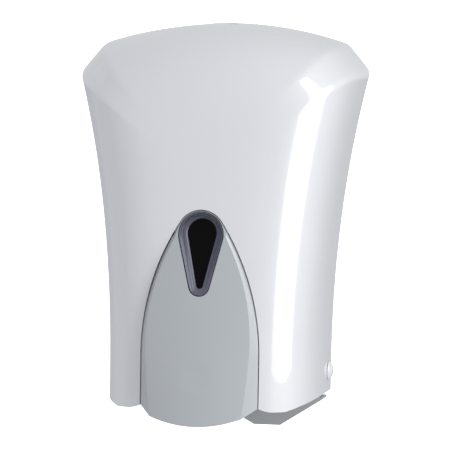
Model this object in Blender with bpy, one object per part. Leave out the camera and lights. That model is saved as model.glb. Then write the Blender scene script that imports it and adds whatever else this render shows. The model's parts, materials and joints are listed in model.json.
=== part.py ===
"""Wall mounted push-lever soap dispenser.

The frame: the wall is the plane y = 0, the front looks along -Y, +X is to the
right and z = 0 is the lower edge of the front cover.
"""
import math

import bmesh
import bpy
from mathutils import Matrix, Vector

MM = 0.001

# ---- driving sizes -------------------------------------------------------
# Front cover
COVER_HEIGHT = 236.8 * MM
COVER_DEPTH = 104.6 * MM
COVER_WALL = 2.5 * MM
WALL_STANDOFF = 6.5 * MM
FOOT_HALF_WIDTH = 66.2 * MM
SHOULDER_HALF_WIDTH = 88.1 * MM
SHOULDER_HEIGHT = 208 * MM
WAIST_HEIGHT = 18.7 * MM
FLARE_POWER = 2.15
CROWN_HALF_WIDTH = 73.9 * MM
CROWN_SAG = 11.8 * MM
SPINE_DROP = 91.5 * MM
SPINE_BLEND = 20 * MM
SIDE_POWER = 5.16
FRONT_POWER = 4.13
CORNER_CUT_WIDTH = 13 * MM
CORNER_CUT_HEIGHT = 4.5 * MM

# Push lever and its arch
ARCH_HALF_WIDTH = 37.5 * MM
ARCH_SPRING_HEIGHT = 34.3 * MM
ARCH_RADIUS = 154.6 * MM
ARCH_CAP_HEIGHT = 117.8 * MM
ARCH_GAP = 0.8 * MM
LEVER_WALL = 2.4 * MM
LEVER_FLANGE = 9 * MM
LEVER_CREASE_RISE = 11 * MM
LEVER_CROWN = 4 * MM
LEVER_FADE_HEIGHT = 119.3 * MM
LEVER_LIP_DROP = 8.6 * MM
LEVER_FACET = 2.4 * MM
LEVER_FOOT_FACET = 8 * MM
LEVER_FACET_TAPER = 10 * MM
LEVER_PIVOT_HEIGHT = 107.5 * MM
LEVER_PIVOT_SETBACK = 12.6 * MM
LEVER_PIN_RADIUS = 2 * MM
EAR_THICKNESS = 3.4 * MM
EAR_HALF_HEIGHT = 5.2 * MM
EAR_FRONT = 4.4 * MM
COVER_EAR_HALF_HEIGHT = 7.8 * MM
COVER_EAR_CLEARANCE = 1.5 * MM
LEVER_EDGE_SETBACK = 1.2 * MM
RIB_HALF_WIDTH = 3 * MM
NOSE_RADIUS = 4 * MM
NOSE_HALF_WIDTH = 7 * MM

# Level window
BEZEL_TOP_RADIUS = 14.6 * MM
BEZEL_TOP_HEIGHT = 109.6 * MM
BEZEL_FOOT_RADIUS = 7.1 * MM
BEZEL_FOOT_HEIGHT = 78.3 * MM
BEZEL_SEAT_DEPTH = 3 * MM
BEZEL_DEPTH = 5 * MM
BEZEL_DEPTH_HEIGHT = 117 * MM
BEZEL_FOOT_DEPTH_SHARE = 0.4
WINDOW_TOP_RADIUS = 9.1 * MM
WINDOW_TOP_HEIGHT = 110 * MM
WINDOW_FOOT_RADIUS = 2.2 * MM
WINDOW_FOOT_HEIGHT = 78.3 * MM
BEZEL_PROUD = 0.2 * MM
LENS_THICKNESS = 1.4 * MM
LENS_SHARE = 0.84
LENS_SEAT_DEPTH = 0.8 * MM
LENS_ROOM = 2.5 * MM
LENS_ROOM_SHARE = 0.42

# Cover hinge
HINGE_HEIGHT = 17.6 * MM
HINGE_SETBACK = 17 * MM
HINGE_PIN_RADIUS = 3 * MM
HINGE_CAP_RADIUS = 6.2 * MM
HINGE_CAP_RISE = 2.9 * MM
HINGE_PIN_REACH = 2 * MM
HINGE_EAR_THICKNESS = 5 * MM
HINGE_EAR_HALF_HEIGHT = 7 * MM
HINGE_EAR_CLEARANCE = 1 * MM

# Back plate and skirt
PLATE_THICKNESS = 3 * MM
PLATE_LIP = 5 * MM
PLATE_LIP_WALL = 2.4 * MM
PLATE_MARGIN = 4.5 * MM
SCREW_SPACING_X = 90 * MM
SCREW_LOW_HEIGHT = 38 * MM
SCREW_HIGH_HEIGHT = 211 * MM
SCREW_HOLE_RADIUS = 2.4 * MM
SCREW_HEAD_RADIUS = 4.2 * MM
SCREW_SHANK_RADIUS = 2 * MM
SCREW_LENGTH = 2.6 * MM
PLATE_FOOT_DROP = 17 * MM
SCREW_HEAD_RIM = 1.4 * MM
SCREW_HEAD_HEIGHT = 2.4 * MM
SCREW_DRIVE_REACH = 2.2 * MM
SCREW_DRIVE_HALF_WIDTH = 0.4 * MM
SCREW_DRIVE_DEPTH = 1.2 * MM
SKIRT_DEPTH = 14 * MM
SKIRT_WALL = 2.5 * MM
SKIRT_DROP = 19 * MM
SKIRT_SHOULDER = 1.5 * MM
SKIRT_FOOT_INNER = 18 * MM
SKIRT_FOOT_OUTER = 35 * MM
SKIRT_NOTCH_HALF_WIDTH = 7 * MM
SKIRT_NOTCH_RISE = 6 * MM

# Soap tank
TANK_HALF_WIDTH = 58 * MM
TANK_BASE = 60 * MM
TANK_TOP = 198 * MM
TANK_FRONT = 84 * MM
TANK_WALL = 2 * MM
TANK_CORNER = 10 * MM
LID_THICKNESS = 3 * MM
LID_SEAL_WIDTH = 1.8 * MM
LID_OVERHANG = 2 * MM
LID_GRIP_RISE = 2 * MM
LID_HINGE_GAP = 2.4 * MM
LID_EYE_RADIUS = 2 * MM
LID_PIN_RADIUS = 0.9 * MM
LID_LUG_X = 30 * MM
LID_LUG_WIDTH = 6 * MM
LID_EAR_WIDTH = 3 * MM
LID_EYE_SETBACK = 1 * MM
LID_EAR_DROP = 13 * MM
LID_EAR_FOOT_TOP = 6 * MM
LID_GRIP_HALF_WIDTH = 15 * MM
LID_GRIP_SETBACK = 12 * MM
LID_GRIP_DEPTH = 4 * MM
TANK_REAR_GAP = 1 * MM
TANK_NECK_DROP = 12 * MM
SHELF_HALF_WIDTH = 4 * MM
SHELF_OFFSET = 38 * MM
SHELF_THICKNESS = 3 * MM

# Pump
PUMP_HEIGHT = 31 * MM
PUMP_REAR = 34 * MM
PUMP_FRONT = 66 * MM
PUMP_BORE = 8 * MM
PUMP_WALL = 3 * MM
PORT_DEPTH = 41 * MM
INLET_RADIUS = 8 * MM
INLET_BORE = 5.2 * MM
INLET_TOP = 55 * MM
OUTLET_RADIUS = 7 * MM
OUTLET_BORE = 4.4 * MM
OUTLET_FOOT = 12 * MM
NECK_BORE = 10.6 * MM
NECK_WALL = 2 * MM
VALVE_BALL = 3.4 * MM
VALVE_SEAT = 2 * MM
VALVE_PORT_RADIUS = 2 * MM
VALVE_LIFT = 0.4 * MM
ROD_RADIUS = 4 * MM
PISTON_LENGTH = 8 * MM
PISTON_START = 62 * MM
HEAD_FRONT = 92 * MM
HEAD_THICKNESS = 4 * MM
HEAD_RADIUS = 9 * MM
HEAD_CHAMFER = 0.8 * MM
CAP_THICKNESS = 3 * MM
COLLAR_WALL = 2 * MM
CAP_SKIRT = 8 * MM
SPRING_CLEARANCE = 1.4 * MM
SPRING_WIRE = 0.6 * MM
SPRING_COILS = 5
SPOUT_RADIUS = 4.5 * MM
SPOUT_BORE = 2.6 * MM
SPOUT_REACH = 68 * MM
SPOUT_TIP = -8 * MM
SPOUT_BEND = 5 * MM
SPOUT_DROP = 7 * MM
NUT_FLOOR = 2.2 * MM
NUT_GRIP = 5 * MM
SEAL_SECTION = 1.1 * MM
SEAL_SQUEEZE = 0.15 * MM
NECK_SEAL_DROP = 3 * MM
CRADLE_HALF_WIDTH = 24 * MM
CRADLE_HALF_HEIGHT = 14 * MM
CRADLE_THICKNESS = 3 * MM
CRADLE_ARM_DROP = 10 * MM
CRADLE_ARM_WALL = 2.5 * MM
CRADLE_ARM_REACH = 12 * MM
CRADLE_SCREW_X = 19 * MM
CRADLE_HOLE_RADIUS = 1.8 * MM
CRADLE_SCREW_RADIUS = 1.5 * MM
CRADLE_HEAD_RADIUS = 3 * MM
CRADLE_HEAD_RIM = 1 * MM
CRADLE_HEAD_HEIGHT = 1.8 * MM

# Cover lock
LOCK_SETBACK = 22 * MM
LOCK_RADIUS = 5 * MM
LOCK_RECESS = 0.5 * MM
LOCK_LENGTH = 8 * MM
CAM_LENGTH = 11 * MM
CAM_THICKNESS = 3 * MM
CAM_HALF_WIDTH = 2.5 * MM
KEY_SLOT_HALF_LENGTH = 3 * MM
KEY_SLOT_HALF_WIDTH = 0.6 * MM
KEY_SLOT_DEPTH = 2 * MM
STRIKE_WALL = 2.4 * MM
STRIKE_WIDTH = 8 * MM
STRIKE_SIDE_GAP = 3.5 * MM
STRIKE_FOOT = 12 * MM
CAM_FLOOR_GAP = 1.5 * MM
CAM_FRONT_GAP = 1 * MM
CAM_REAR_INSET = 1 * MM

# Clearances
SEAT_GAP = 0.3 * MM
RUN_GAP = 0.3 * MM
OVERCUT = 5 * MM

FRONT_Y = -(WALL_STANDOFF + COVER_DEPTH)
SEGMENTS = 24


# ---- building helpers ----------------------------------------------------
def clear_scene():
    for item in list(bpy.data.objects):
        bpy.data.objects.remove(item)


def material(name, colour, roughness, metallic=0.0, alpha=1.0):
    finish = bpy.data.materials.new(name)
    finish.use_nodes = True
    shader = finish.node_tree.nodes["Principled BSDF"]
    shader.inputs["Base Color"].default_value = (*colour, 1.0)
    shader.inputs["Roughness"].default_value = roughness
    shader.inputs["Metallic"].default_value = metallic
    shader.inputs["Alpha"].default_value = alpha
    return finish


def solid(name, mesh_data, finish=None, smooth=None):
    """Close a bmesh into an object; smooth is the sharp-edge angle in degrees."""
    bmesh.ops.remove_doubles(mesh_data, verts=mesh_data.verts, dist=1e-6)
    bmesh.ops.dissolve_degenerate(mesh_data, edges=mesh_data.edges, dist=1e-6)
    bmesh.ops.recalc_face_normals(mesh_data, faces=mesh_data.faces)
    mesh = bpy.data.meshes.new(name)
    mesh_data.to_mesh(mesh)
    mesh_data.free()
    item = bpy.data.objects.new(name, mesh)
    bpy.context.collection.objects.link(item)
    if finish:
        mesh.materials.append(finish)
    if smooth:
        mesh.shade_smooth()
        mesh.set_sharp_from_angle(angle=math.radians(smooth))
    return item


def combine(target, tool, operation):
    """Apply one exact Boolean to target and drop the tool solid."""
    modifier = target.modifiers.new(operation.lower(), "BOOLEAN")
    modifier.object = tool
    modifier.operation = operation
    modifier.solver = "EXACT"
    graph = bpy.context.evaluated_depsgraph_get()
    shaped = bpy.data.meshes.new_from_object(target.evaluated_get(graph))
    target.modifiers.clear()
    target.data = shaped
    bpy.data.objects.remove(tool)


def cut(target, tool):
    combine(target, tool, "DIFFERENCE")


def join(target, tool):
    combine(target, tool, "UNION")


def refinish(item, finish, smooth=None):
    item.data.materials.clear()
    item.data.materials.append(finish)
    for face in item.data.polygons:
        face.material_index = 0
    if smooth:
        item.data.shade_smooth()
        item.data.set_sharp_from_angle(angle=math.radians(smooth))
    return item


def prism(name, outline, axis, low, high, finish=None, smooth=None):
    """Extrude a closed outline of 2-D points along one axis."""
    def place(point, depth):
        a, b = point
        return {"X": (depth, a, b), "Y": (a, depth, b), "Z": (a, b, depth)}[axis]

    mesh_data = bmesh.new()
    near = [mesh_data.verts.new(place(point, low)) for point in outline]
    far = [mesh_data.verts.new(place(point, high)) for point in outline]
    mesh_data.faces.new(near)
    mesh_data.faces.new(list(reversed(far)))
    bridge(mesh_data, near, far, closed=True)
    return solid(name, mesh_data, finish, smooth)


def bridge(mesh_data, first, second, closed=False):
    count = len(first) if closed else len(first) - 1
    for i in range(count):
        j = (i + 1) % len(first)
        corners = [first[i], first[j], second[j], second[i]]
        mesh_data.faces.new(corners)


def block(name, x_range, y_range, z_range, finish=None):
    (x0, x1), (y0, y1), (z0, z1) = x_range, y_range, z_range
    outline = [(x0, y0), (x1, y0), (x1, y1), (x0, y1)]
    return prism(name, outline, "Z", z0, z1, finish)


def circle(radius, centre=(0.0, 0.0), count=SEGMENTS):
    step = math.tau / count
    return [(centre[0] + radius * math.cos(i * step), centre[1] + radius * math.sin(i * step))
            for i in range(count)]


def rod(name, axis, centre, radius, low, high, finish=None, count=SEGMENTS):
    """A round bar along one axis; centre holds the other two coordinates."""
    return prism(name, circle(radius, centre, count), axis, low, high, finish, 40)


def turned(name, profile, base, axis, finish, count=SEGMENTS, closed=True):
    """Spin a profile of (radius, height) points about an axis through base."""
    turn = Vector((0, 0, 1)).rotation_difference(Vector(axis)).to_matrix().to_4x4()
    mesh_data = bmesh.new()
    rings = []
    for radius, height in profile:
        if radius < 1e-7:
            rings.append([mesh_data.verts.new((0, 0, height))] * count)
            continue
        rings.append([mesh_data.verts.new((x, y, height)) for x, y in circle(radius, count=count)])
    pairs = list(zip(rings, rings[1:]))
    if closed:
        pairs.append((rings[-1], rings[0]))
    for first, second in pairs:
        for i in range(count):
            j = (i + 1) % count
            corners = list(dict.fromkeys([first[i], first[j], second[j], second[i]]))
            if len(corners) > 2:
                mesh_data.faces.new(corners)
    mesh_data.transform(Matrix.Translation(base) @ turn)
    return solid(name, mesh_data, finish, 40)


def pipe_ring(mesh_data, path, k, radius, count):
    """A ring square to a path in the y-z plane, at its k-th point."""
    y, z = path[k]
    before = path[max(k - 1, 0)]
    after = path[min(k + 1, len(path) - 1)]
    along = Vector((0, after[0] - before[0], after[1] - before[1])).normalized()
    across = along.cross(Vector((1, 0, 0)))
    return [mesh_data.verts.new(Vector((a, y, z)) + b * across)
            for a, b in circle(radius, count=count)]


def tube(name, path, outer, inner, finish, count=16):
    """A pipe with an open bore along a bent path in the y-z plane."""
    mesh_data = bmesh.new()
    walls = [[pipe_ring(mesh_data, path, k, radius, count) for k in range(len(path))]
             for radius in (outer, inner)]
    for rings in walls:
        for first, second in zip(rings, rings[1:]):
            bridge(mesh_data, first, second, closed=True)
    for end in (0, -1):
        bridge(mesh_data, walls[0][end], walls[1][end], closed=True)
    return solid(name, mesh_data, finish, 40)


def hang(name, pivot, items, parent=None):
    """Parent items to an empty on a joint axis without moving them."""
    empty = bpy.data.objects.new(name, None)
    bpy.context.collection.objects.link(empty)
    pivot = Vector(pivot)
    offset = Vector(parent["pivot"]) if parent else Vector((0, 0, 0))
    empty["pivot"] = list(pivot)
    empty.location = pivot - offset
    empty.parent = parent
    for item in items:
        item.data.transform(Matrix.Translation(-pivot))
        item.parent = empty
    return empty


# ---- cover shape ---------------------------------------------------------
def side_half_width(z):
    """Half the cover's width at a height below its shoulder."""
    rise = max(0.0, (z - WAIST_HEIGHT) / (SHOULDER_HEIGHT - WAIST_HEIGHT))
    return FOOT_HALF_WIDTH + (SHOULDER_HALF_WIDTH - FOOT_HALF_WIDTH) * rise ** FLARE_POWER


def crown_height(x):
    """Height of the arched top at a distance from the middle."""
    radius = (CROWN_HALF_WIDTH ** 2 + CROWN_SAG ** 2) / (2 * CROWN_SAG)
    return COVER_HEIGHT - radius + math.sqrt(radius ** 2 - x ** 2)


def half_outline(side_steps=9, crown_steps=6):
    """Right half of the cover's back edge, from the foot up to the apex."""
    points = []
    for i in range(side_steps + 1):
        z = SHOULDER_HEIGHT * i / side_steps
        points.append((side_half_width(z), z))
    for i in range(crown_steps + 1):
        x = CROWN_HALF_WIDTH * (1 - i / crown_steps)
        points.append((x, crown_height(x)))
    return points


def inset(points, distance):
    """Move an open outline inwards; its ends stay on z = 0 and on x = 0."""
    moved = []
    for i, (x, z) in enumerate(points):
        before = points[max(i - 1, 0)]
        after = points[min(i + 1, len(points) - 1)]
        ahead = Vector((after[0] - x, after[1] - z))
        behind = Vector((x - before[0], z - before[1]))
        normals = [Vector((-v.y, v.x)).normalized() for v in (behind, ahead) if v.length > 1e-9]
        mean = sum(normals, Vector((0, 0))).normalized()
        reach = distance / max(mean.dot(normals[0]), 0.5)
        moved.append((x + mean.x * reach, z + mean.y * reach))
    moved[0] = (points[0][0] - distance, points[0][1])
    moved[-1] = (0.0, points[-1][1] - distance)
    return moved


def spine_height(z):
    """Where the section through a rim point meets the cover's middle line."""
    cap = COVER_HEIGHT - SPINE_DROP
    if z <= cap - SPINE_BLEND:
        return z
    if z >= cap + SPINE_BLEND:
        return cap
    ahead = z - (cap - SPINE_BLEND)
    return z - ahead ** 2 / (4 * SPINE_BLEND)


def bulge_point(rim, share, depth):
    """One point of the bulged face; share runs from 0 at the rim to 1 at the front."""
    angle = share * math.pi / 2
    across = math.cos(angle) ** (2 / SIDE_POWER) if share < 1 else 0.0
    out = math.sin(angle) ** (2 / FRONT_POWER)
    x, z = rim
    middle = spine_height(z)
    return (x * across, -(WALL_STANDOFF + depth * out), middle + (z - middle) * across)


def bulge_wall(mesh_data, rim_points, depth, steps=9):
    """Left and right halves of one face of the cover, as rows of vertices."""
    rows = []
    for side in (-1, 1):
        for rim in rim_points:
            row = []
            for k in range(steps + 1):
                x, y, z = bulge_point(rim, k / steps, depth)
                row.append(mesh_data.verts.new((side * x, y, z)))
            rows.append(row)
    half = len(rim_points)
    return rows[:half], rows[half:]


def cover_shell():
    mesh_data = bmesh.new()
    rim = half_outline()
    outer = bulge_wall(mesh_data, rim, COVER_DEPTH)
    inner = bulge_wall(mesh_data, inset(rim, COVER_WALL), COVER_DEPTH - COVER_WALL)
    for wall in (outer, inner):
        for half in wall:
            for first, second in zip(half, half[1:]):
                for k in range(len(first) - 1):
                    mesh_data.faces.new([first[k], second[k], second[k + 1], first[k + 1]])
    for outer_half, inner_half in zip(outer, inner):
        bridge(mesh_data, [row[0] for row in outer_half], [row[0] for row in inner_half])
        bridge(mesh_data, outer_half[0], inner_half[0])
    return solid("front_cover", mesh_data)


# ---- lever arch ----------------------------------------------------------
def arch_cap():
    """Centre height and radius of the round cap that ends the pointed arch."""
    rise = ARCH_CAP_HEIGHT - ARCH_SPRING_HEIGHT
    run = math.sqrt(ARCH_RADIUS ** 2 - rise ** 2)
    half_width = ARCH_HALF_WIDTH - ARCH_RADIUS + run
    drop = half_width * rise / run
    return ARCH_CAP_HEIGHT - drop, math.hypot(half_width, drop)


def arch_half_width(z, shrink=0.0):
    centre, radius = arch_cap()
    if z >= ARCH_CAP_HEIGHT:
        return math.sqrt(max((radius - shrink) ** 2 - (z - centre) ** 2, 0.0))
    rise = max(0.0, z - ARCH_SPRING_HEIGHT)
    return ARCH_HALF_WIDTH - ARCH_RADIUS + math.sqrt(ARCH_RADIUS ** 2 - rise ** 2) - shrink


def arch_heights(foot, shrink=0.0):
    """Rows up the arch: straight sides, pointed arcs, then the round cap."""
    centre, radius = arch_cap()
    radius -= shrink
    rows = [foot, ARCH_SPRING_HEIGHT * 0.5, ARCH_SPRING_HEIGHT]
    span = ARCH_CAP_HEIGHT - ARCH_SPRING_HEIGHT
    rows += [ARCH_SPRING_HEIGHT + span * i / 6 for i in range(1, 6)]
    start = math.asin((ARCH_CAP_HEIGHT - centre) / radius)
    rows += [centre + radius * math.sin(start + (math.pi / 2 - start) * i / 4) for i in range(5)]
    return rows


def arch_outline(foot, shrink):
    heights = arch_heights(foot, shrink)
    right = [(arch_half_width(z, shrink), z) for z in heights[:-1]]
    left = [(-x, z) for x, z in reversed(right)]
    return right + [(0.0, heights[-1])] + left


def lever_fade(z):
    """1 at the cover's foot and 0 where the lever is flush with the cover."""
    return max(0.0, 1 - z / LEVER_FADE_HEIGHT)


def lever_facet(z):
    """Width of the lever's side facet, seen from the front."""
    return LEVER_FACET + (LEVER_FOOT_FACET - LEVER_FACET) * lever_fade(z) ** 3


def lever_face_y(z, across=0.0):
    """Front of the lever at a height; across is 0 at the middle and 1 at the crease."""
    crown = LEVER_CROWN * (1 - across ** 2)
    return FRONT_Y - (LEVER_CREASE_RISE + crown) * lever_fade(z)


def lever_row(z_top_share, thickness):
    """One cross row of the lever, from its right flange to its left flange."""
    gap = ARCH_GAP + thickness
    centre, radius = arch_cap()
    top = centre + radius - gap
    foot_drop = {"flange": 0.25, "base": 0.25, "crease": -0.38}
    points = []
    stations = [("flange", 1.0), ("base", 1.0), ("crease", 1.0), ("face", 0.66), ("face", 0.33),
                ("face", 0.0)]
    for kind, across in stations:
        drop = foot_drop.get(kind, -1 + 0.62 * across ** 2)
        foot = LEVER_LIP_DROP * drop
        z = foot + (top - foot) * z_top_share
        half = max(arch_half_width(z, gap), 0.0)
        facet = lever_facet(z) * min(1.0, half / LEVER_FACET_TAPER)
        if kind == "flange":
            point = (half, FRONT_Y + LEVER_FLANGE)
        elif kind == "base":
            point = (half, FRONT_Y + LEVER_EDGE_SETBACK + thickness)
        else:
            point = ((half - facet) * across, lever_face_y(z, across) + thickness)
        points.append((point[0], point[1], z))
    mirrored = [(-x, y, z) for x, y, z in reversed(points[:-1])]
    return points + mirrored


def lever_shares():
    """Row positions up the lever, closer together where the cap turns."""
    straight = [0, 0.1, 0.2, 0.32, 0.44, 0.55, 0.66, 0.76, 0.84]
    return straight + [0.9, 0.94, 0.97, 0.99, 1.0]


def lever_shell():
    mesh_data = bmesh.new()
    skins = []
    for thickness in (0.0, LEVER_WALL):
        rows = [[mesh_data.verts.new(point) for point in lever_row(share, thickness)]
                for share in lever_shares()]
        for first, second in zip(rows, rows[1:]):
            bridge(mesh_data, first, second)
        skins.append(rows)
    outer, inner = skins
    bridge(mesh_data, outer[0], inner[0])
    bridge(mesh_data, [row[0] for row in outer], [row[0] for row in inner])
    bridge(mesh_data, [row[-1] for row in outer], [row[-1] for row in inner])
    return solid("push_lever", mesh_data)


# ---- level window --------------------------------------------------------
def teardrop(share, grow=0.0, arc_steps=15):
    """Outline between the bezel (share 0) and the window (share 1)."""
    def mix(a, b):
        return a + (b - a) * share

    top_r = mix(BEZEL_TOP_RADIUS, WINDOW_TOP_RADIUS) + grow
    top_z = mix(BEZEL_TOP_HEIGHT, WINDOW_TOP_HEIGHT)
    foot_r = mix(BEZEL_FOOT_RADIUS, WINDOW_FOOT_RADIUS) + grow
    foot_z = mix(BEZEL_FOOT_HEIGHT, WINDOW_FOOT_HEIGHT)
    lean = math.asin((top_r - foot_r) / (top_z - foot_z))
    points = []
    for i in range(arc_steps + 1):
        angle = -lean + (math.pi + 2 * lean) * i / arc_steps
        points.append((top_r * math.cos(angle), top_z + top_r * math.sin(angle)))
    foot_steps = arc_steps // 2
    for i in range(foot_steps + 1):
        angle = math.pi + lean + (math.pi - 2 * lean) * i / foot_steps
        points.append((foot_r * math.cos(angle), foot_z + foot_r * math.sin(angle)))
    return points


def bezel_plane_y(z):
    """The lever's middle line, carried on straight past the top of the lever."""
    return FRONT_Y - (LEVER_CREASE_RISE + LEVER_CROWN) * (1 - z / LEVER_FADE_HEIGHT)


def bezel_depth(z):
    """How far the window sits behind the bezel's rim; it gets shallower downwards."""
    rise = (z - WINDOW_FOOT_HEIGHT) / (BEZEL_DEPTH_HEIGHT - WINDOW_FOOT_HEIGHT)
    return BEZEL_DEPTH * (BEZEL_FOOT_DEPTH_SHARE + (1 - BEZEL_FOOT_DEPTH_SHARE) * rise)


def bezel_ring(mesh_data, share, depth_share, behind, grow=0.0):
    """Vertices of one outline, a share of the window's depth plus a distance behind the rim."""
    ring = []
    for x, z in teardrop(share, grow):
        y = bezel_plane_y(z) + depth_share * bezel_depth(z) + behind
        ring.append(mesh_data.verts.new((x, y, z)))
    return ring


def window_bezel(finish):
    """A sunk, stepped frame: share of the way in, share of the depth, distance behind."""
    rim = -BEZEL_PROUD
    back = BEZEL_SEAT_DEPTH - SEAT_GAP
    lens_back = LENS_SEAT_DEPTH + LENS_THICKNESS + RUN_GAP
    profile = [(0.0, 0.0, rim), (0.07, 0.0, rim), (0.34, 0.3, 0.0), (0.40, 0.3, 0.0),
               (0.66, 0.7, 0.0), (0.72, 0.7, 0.0), (1.0, 1.0, 0.0), (1.0, 1.0, LENS_SEAT_DEPTH),
               (LENS_SHARE, 1.0, LENS_SEAT_DEPTH), (LENS_SHARE, 1.0, lens_back), (0.74, 1.0, lens_back),
               (0.56, 0.5, 0.6 * back), (0.46, 0.0, back), (0.0, 0.0, back)]
    mesh_data = bmesh.new()
    rings = [bezel_ring(mesh_data, *step) for step in profile]
    for first, second in zip(rings, rings[1:] + rings[:1]):
        bridge(mesh_data, first, second, closed=True)
    return solid("window_bezel", mesh_data, finish, 35)


def window_lens(finish):
    front = LENS_SEAT_DEPTH + RUN_GAP
    mesh_data = bmesh.new()
    rings = [bezel_ring(mesh_data, LENS_SHARE, 1.0, behind, -RUN_GAP)
             for behind in (front, front + LENS_THICKNESS)]
    bridge(mesh_data, rings[0], rings[1], closed=True)
    mesh_data.faces.new(rings[0])
    mesh_data.faces.new(list(reversed(rings[1])))
    return solid("window_lens", mesh_data, finish)


def bezel_opening(share, depth):
    """A tool that opens the lever around the bezel, down to a depth behind its rim."""
    mesh_data = bmesh.new()
    rings = [bezel_ring(mesh_data, share, 0.0, behind, SEAT_GAP) for behind in (-2 * OVERCUT, depth)]
    bridge(mesh_data, rings[0], rings[1], closed=True)
    mesh_data.faces.new(rings[0])
    mesh_data.faces.new(list(reversed(rings[1])))
    return solid("opening", mesh_data)


def lever_ear_span():
    """Outer and inner x of the lever's own ears, buried in its side walls."""
    near = arch_half_width(LEVER_PIVOT_HEIGHT + EAR_HALF_HEIGHT, ARCH_GAP + 0.15 * LEVER_WALL)
    return near, near - EAR_THICKNESS


def push_lever(finish):
    lever = lever_shell()
    y_pivot = FRONT_Y + LEVER_PIVOT_SETBACK
    ear_reach = y_pivot + EAR_HALF_HEIGHT
    near, far = lever_ear_span()
    for side in (-1, 1):
        ear = block("ear", sorted((side * near, side * far)), (FRONT_Y + EAR_FRONT, ear_reach),
                    (LEVER_PIVOT_HEIGHT - EAR_HALF_HEIGHT, LEVER_PIVOT_HEIGHT + EAR_HALF_HEIGHT))
        join(lever, ear)
    cut(lever, bezel_opening(0.0, BEZEL_SEAT_DEPTH))
    cut(lever, bezel_opening(LENS_ROOM_SHARE, BEZEL_SEAT_DEPTH + LENS_ROOM))
    pin_hole = LEVER_PIN_RADIUS + RUN_GAP
    cut(lever, rod("hole", "X", (y_pivot, LEVER_PIVOT_HEIGHT), pin_hole, -2 * near, 2 * near))
    nose_y = -(HEAD_FRONT + SEAT_GAP + NOSE_RADIUS)
    root_y = lever_face_y(PUMP_HEIGHT) + 0.5 * LEVER_WALL
    rib = block("rib", (-RIB_HALF_WIDTH, RIB_HALF_WIDTH), (root_y, nose_y),
                (PUMP_HEIGHT - NOSE_RADIUS, PUMP_HEIGHT + NOSE_RADIUS))
    nose = rod("nose", "X", (nose_y, PUMP_HEIGHT), NOSE_RADIUS, -NOSE_HALF_WIDTH, NOSE_HALF_WIDTH)
    join(rib, nose)
    join(lever, rib)
    return refinish(lever, finish, 28)


# ---- front cover ---------------------------------------------------------
def cover_ear_span():
    """Inner and outer x of the cover's ears beside the lever."""
    start = arch_half_width(LEVER_PIVOT_HEIGHT - COVER_EAR_HALF_HEIGHT) + COVER_EAR_CLEARANCE
    return start, start + EAR_THICKNESS


def front_cover(finish):
    cover = cover_shell()
    span = 2 * COVER_DEPTH
    for side in (-1, 1):
        inner_x = side * (FOOT_HALF_WIDTH - CORNER_CUT_WIDTH)
        outer_x = side * (FOOT_HALF_WIDTH + CORNER_CUT_WIDTH)
        corner = [(inner_x, 0), (outer_x, 2 * CORNER_CUT_HEIGHT), (outer_x, -span), (inner_x, -span)]
        cut(cover, prism("corner", corner, "Y", -span, span))
    inside = FRONT_Y + COVER_WALL
    low, high = cover_ear_span()
    y_pivot = FRONT_Y + LEVER_PIVOT_SETBACK
    half = COVER_EAR_HALF_HEIGHT
    for side in (-1, 1):
        ear = block("ear", sorted((side * low, side * high)),
                    (inside - 0.5 * COVER_WALL, y_pivot + EAR_HALF_HEIGHT),
                    (LEVER_PIVOT_HEIGHT - half, LEVER_PIVOT_HEIGHT + half))
        join(cover, ear)
    cut(cover, prism("arch", arch_outline(-4 * OVERCUT, 0.0), "Y", -span, inside + OVERCUT))
    pin_hole = LEVER_PIN_RADIUS + SEAT_GAP
    cut(cover, rod("hole", "X", (y_pivot, LEVER_PIVOT_HEIGHT), pin_hole, -high - OVERCUT, high + OVERCUT))
    hinge_hole = HINGE_PIN_RADIUS + SEAT_GAP
    cut(cover, rod("hole", "X", (-HINGE_SETBACK, HINGE_HEIGHT), hinge_hole, -span, span))
    lock_hole = LOCK_RADIUS + RUN_GAP
    cut(cover, rod("hole", "Z", (0, -LOCK_SETBACK), lock_hole, COVER_HEIGHT - 3 * OVERCUT,
                   COVER_HEIGHT + OVERCUT))
    return refinish(cover, finish, 25)


def lever_pins(finish):
    outer_end = cover_ear_span()[1]
    inner_end = lever_ear_span()[1]
    y_pivot = FRONT_Y + LEVER_PIVOT_SETBACK
    pins = []
    for side, label in ((-1, "left"), (1, "right")):
        ends = sorted((side * inner_end, side * outer_end))
        pins.append(rod("lever_pin_" + label, "X", (y_pivot, LEVER_PIVOT_HEIGHT), LEVER_PIN_RADIUS,
                        ends[0], ends[1], finish))
    return pins


def hinge_caps(finish):
    """Domed caps whose shanks are the cover's hinge pins."""
    caps = []
    skin = side_half_width(HINGE_HEIGHT) + SEAT_GAP
    inner = skin - COVER_WALL - HINGE_EAR_THICKNESS - HINGE_PIN_REACH
    sphere = (HINGE_CAP_RADIUS ** 2 + HINGE_CAP_RISE ** 2) / (2 * HINGE_CAP_RISE)
    limit = math.asin(HINGE_CAP_RADIUS / sphere)
    dome = []
    for i in range(5):
        angle = limit * (1 - i / 4)
        dome.append((sphere * math.sin(angle), skin + HINGE_CAP_RISE - sphere + sphere * math.cos(angle)))
    profile = [(0, inner), (HINGE_PIN_RADIUS, inner), (HINGE_PIN_RADIUS, skin)] + dome
    for side, label in ((-1, "left"), (1, "right")):
        base = (0, -HINGE_SETBACK, HINGE_HEIGHT)
        caps.append(turned("hinge_cap_" + label, profile, base, (side, 0, 0), finish, closed=False))
    return caps


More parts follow.
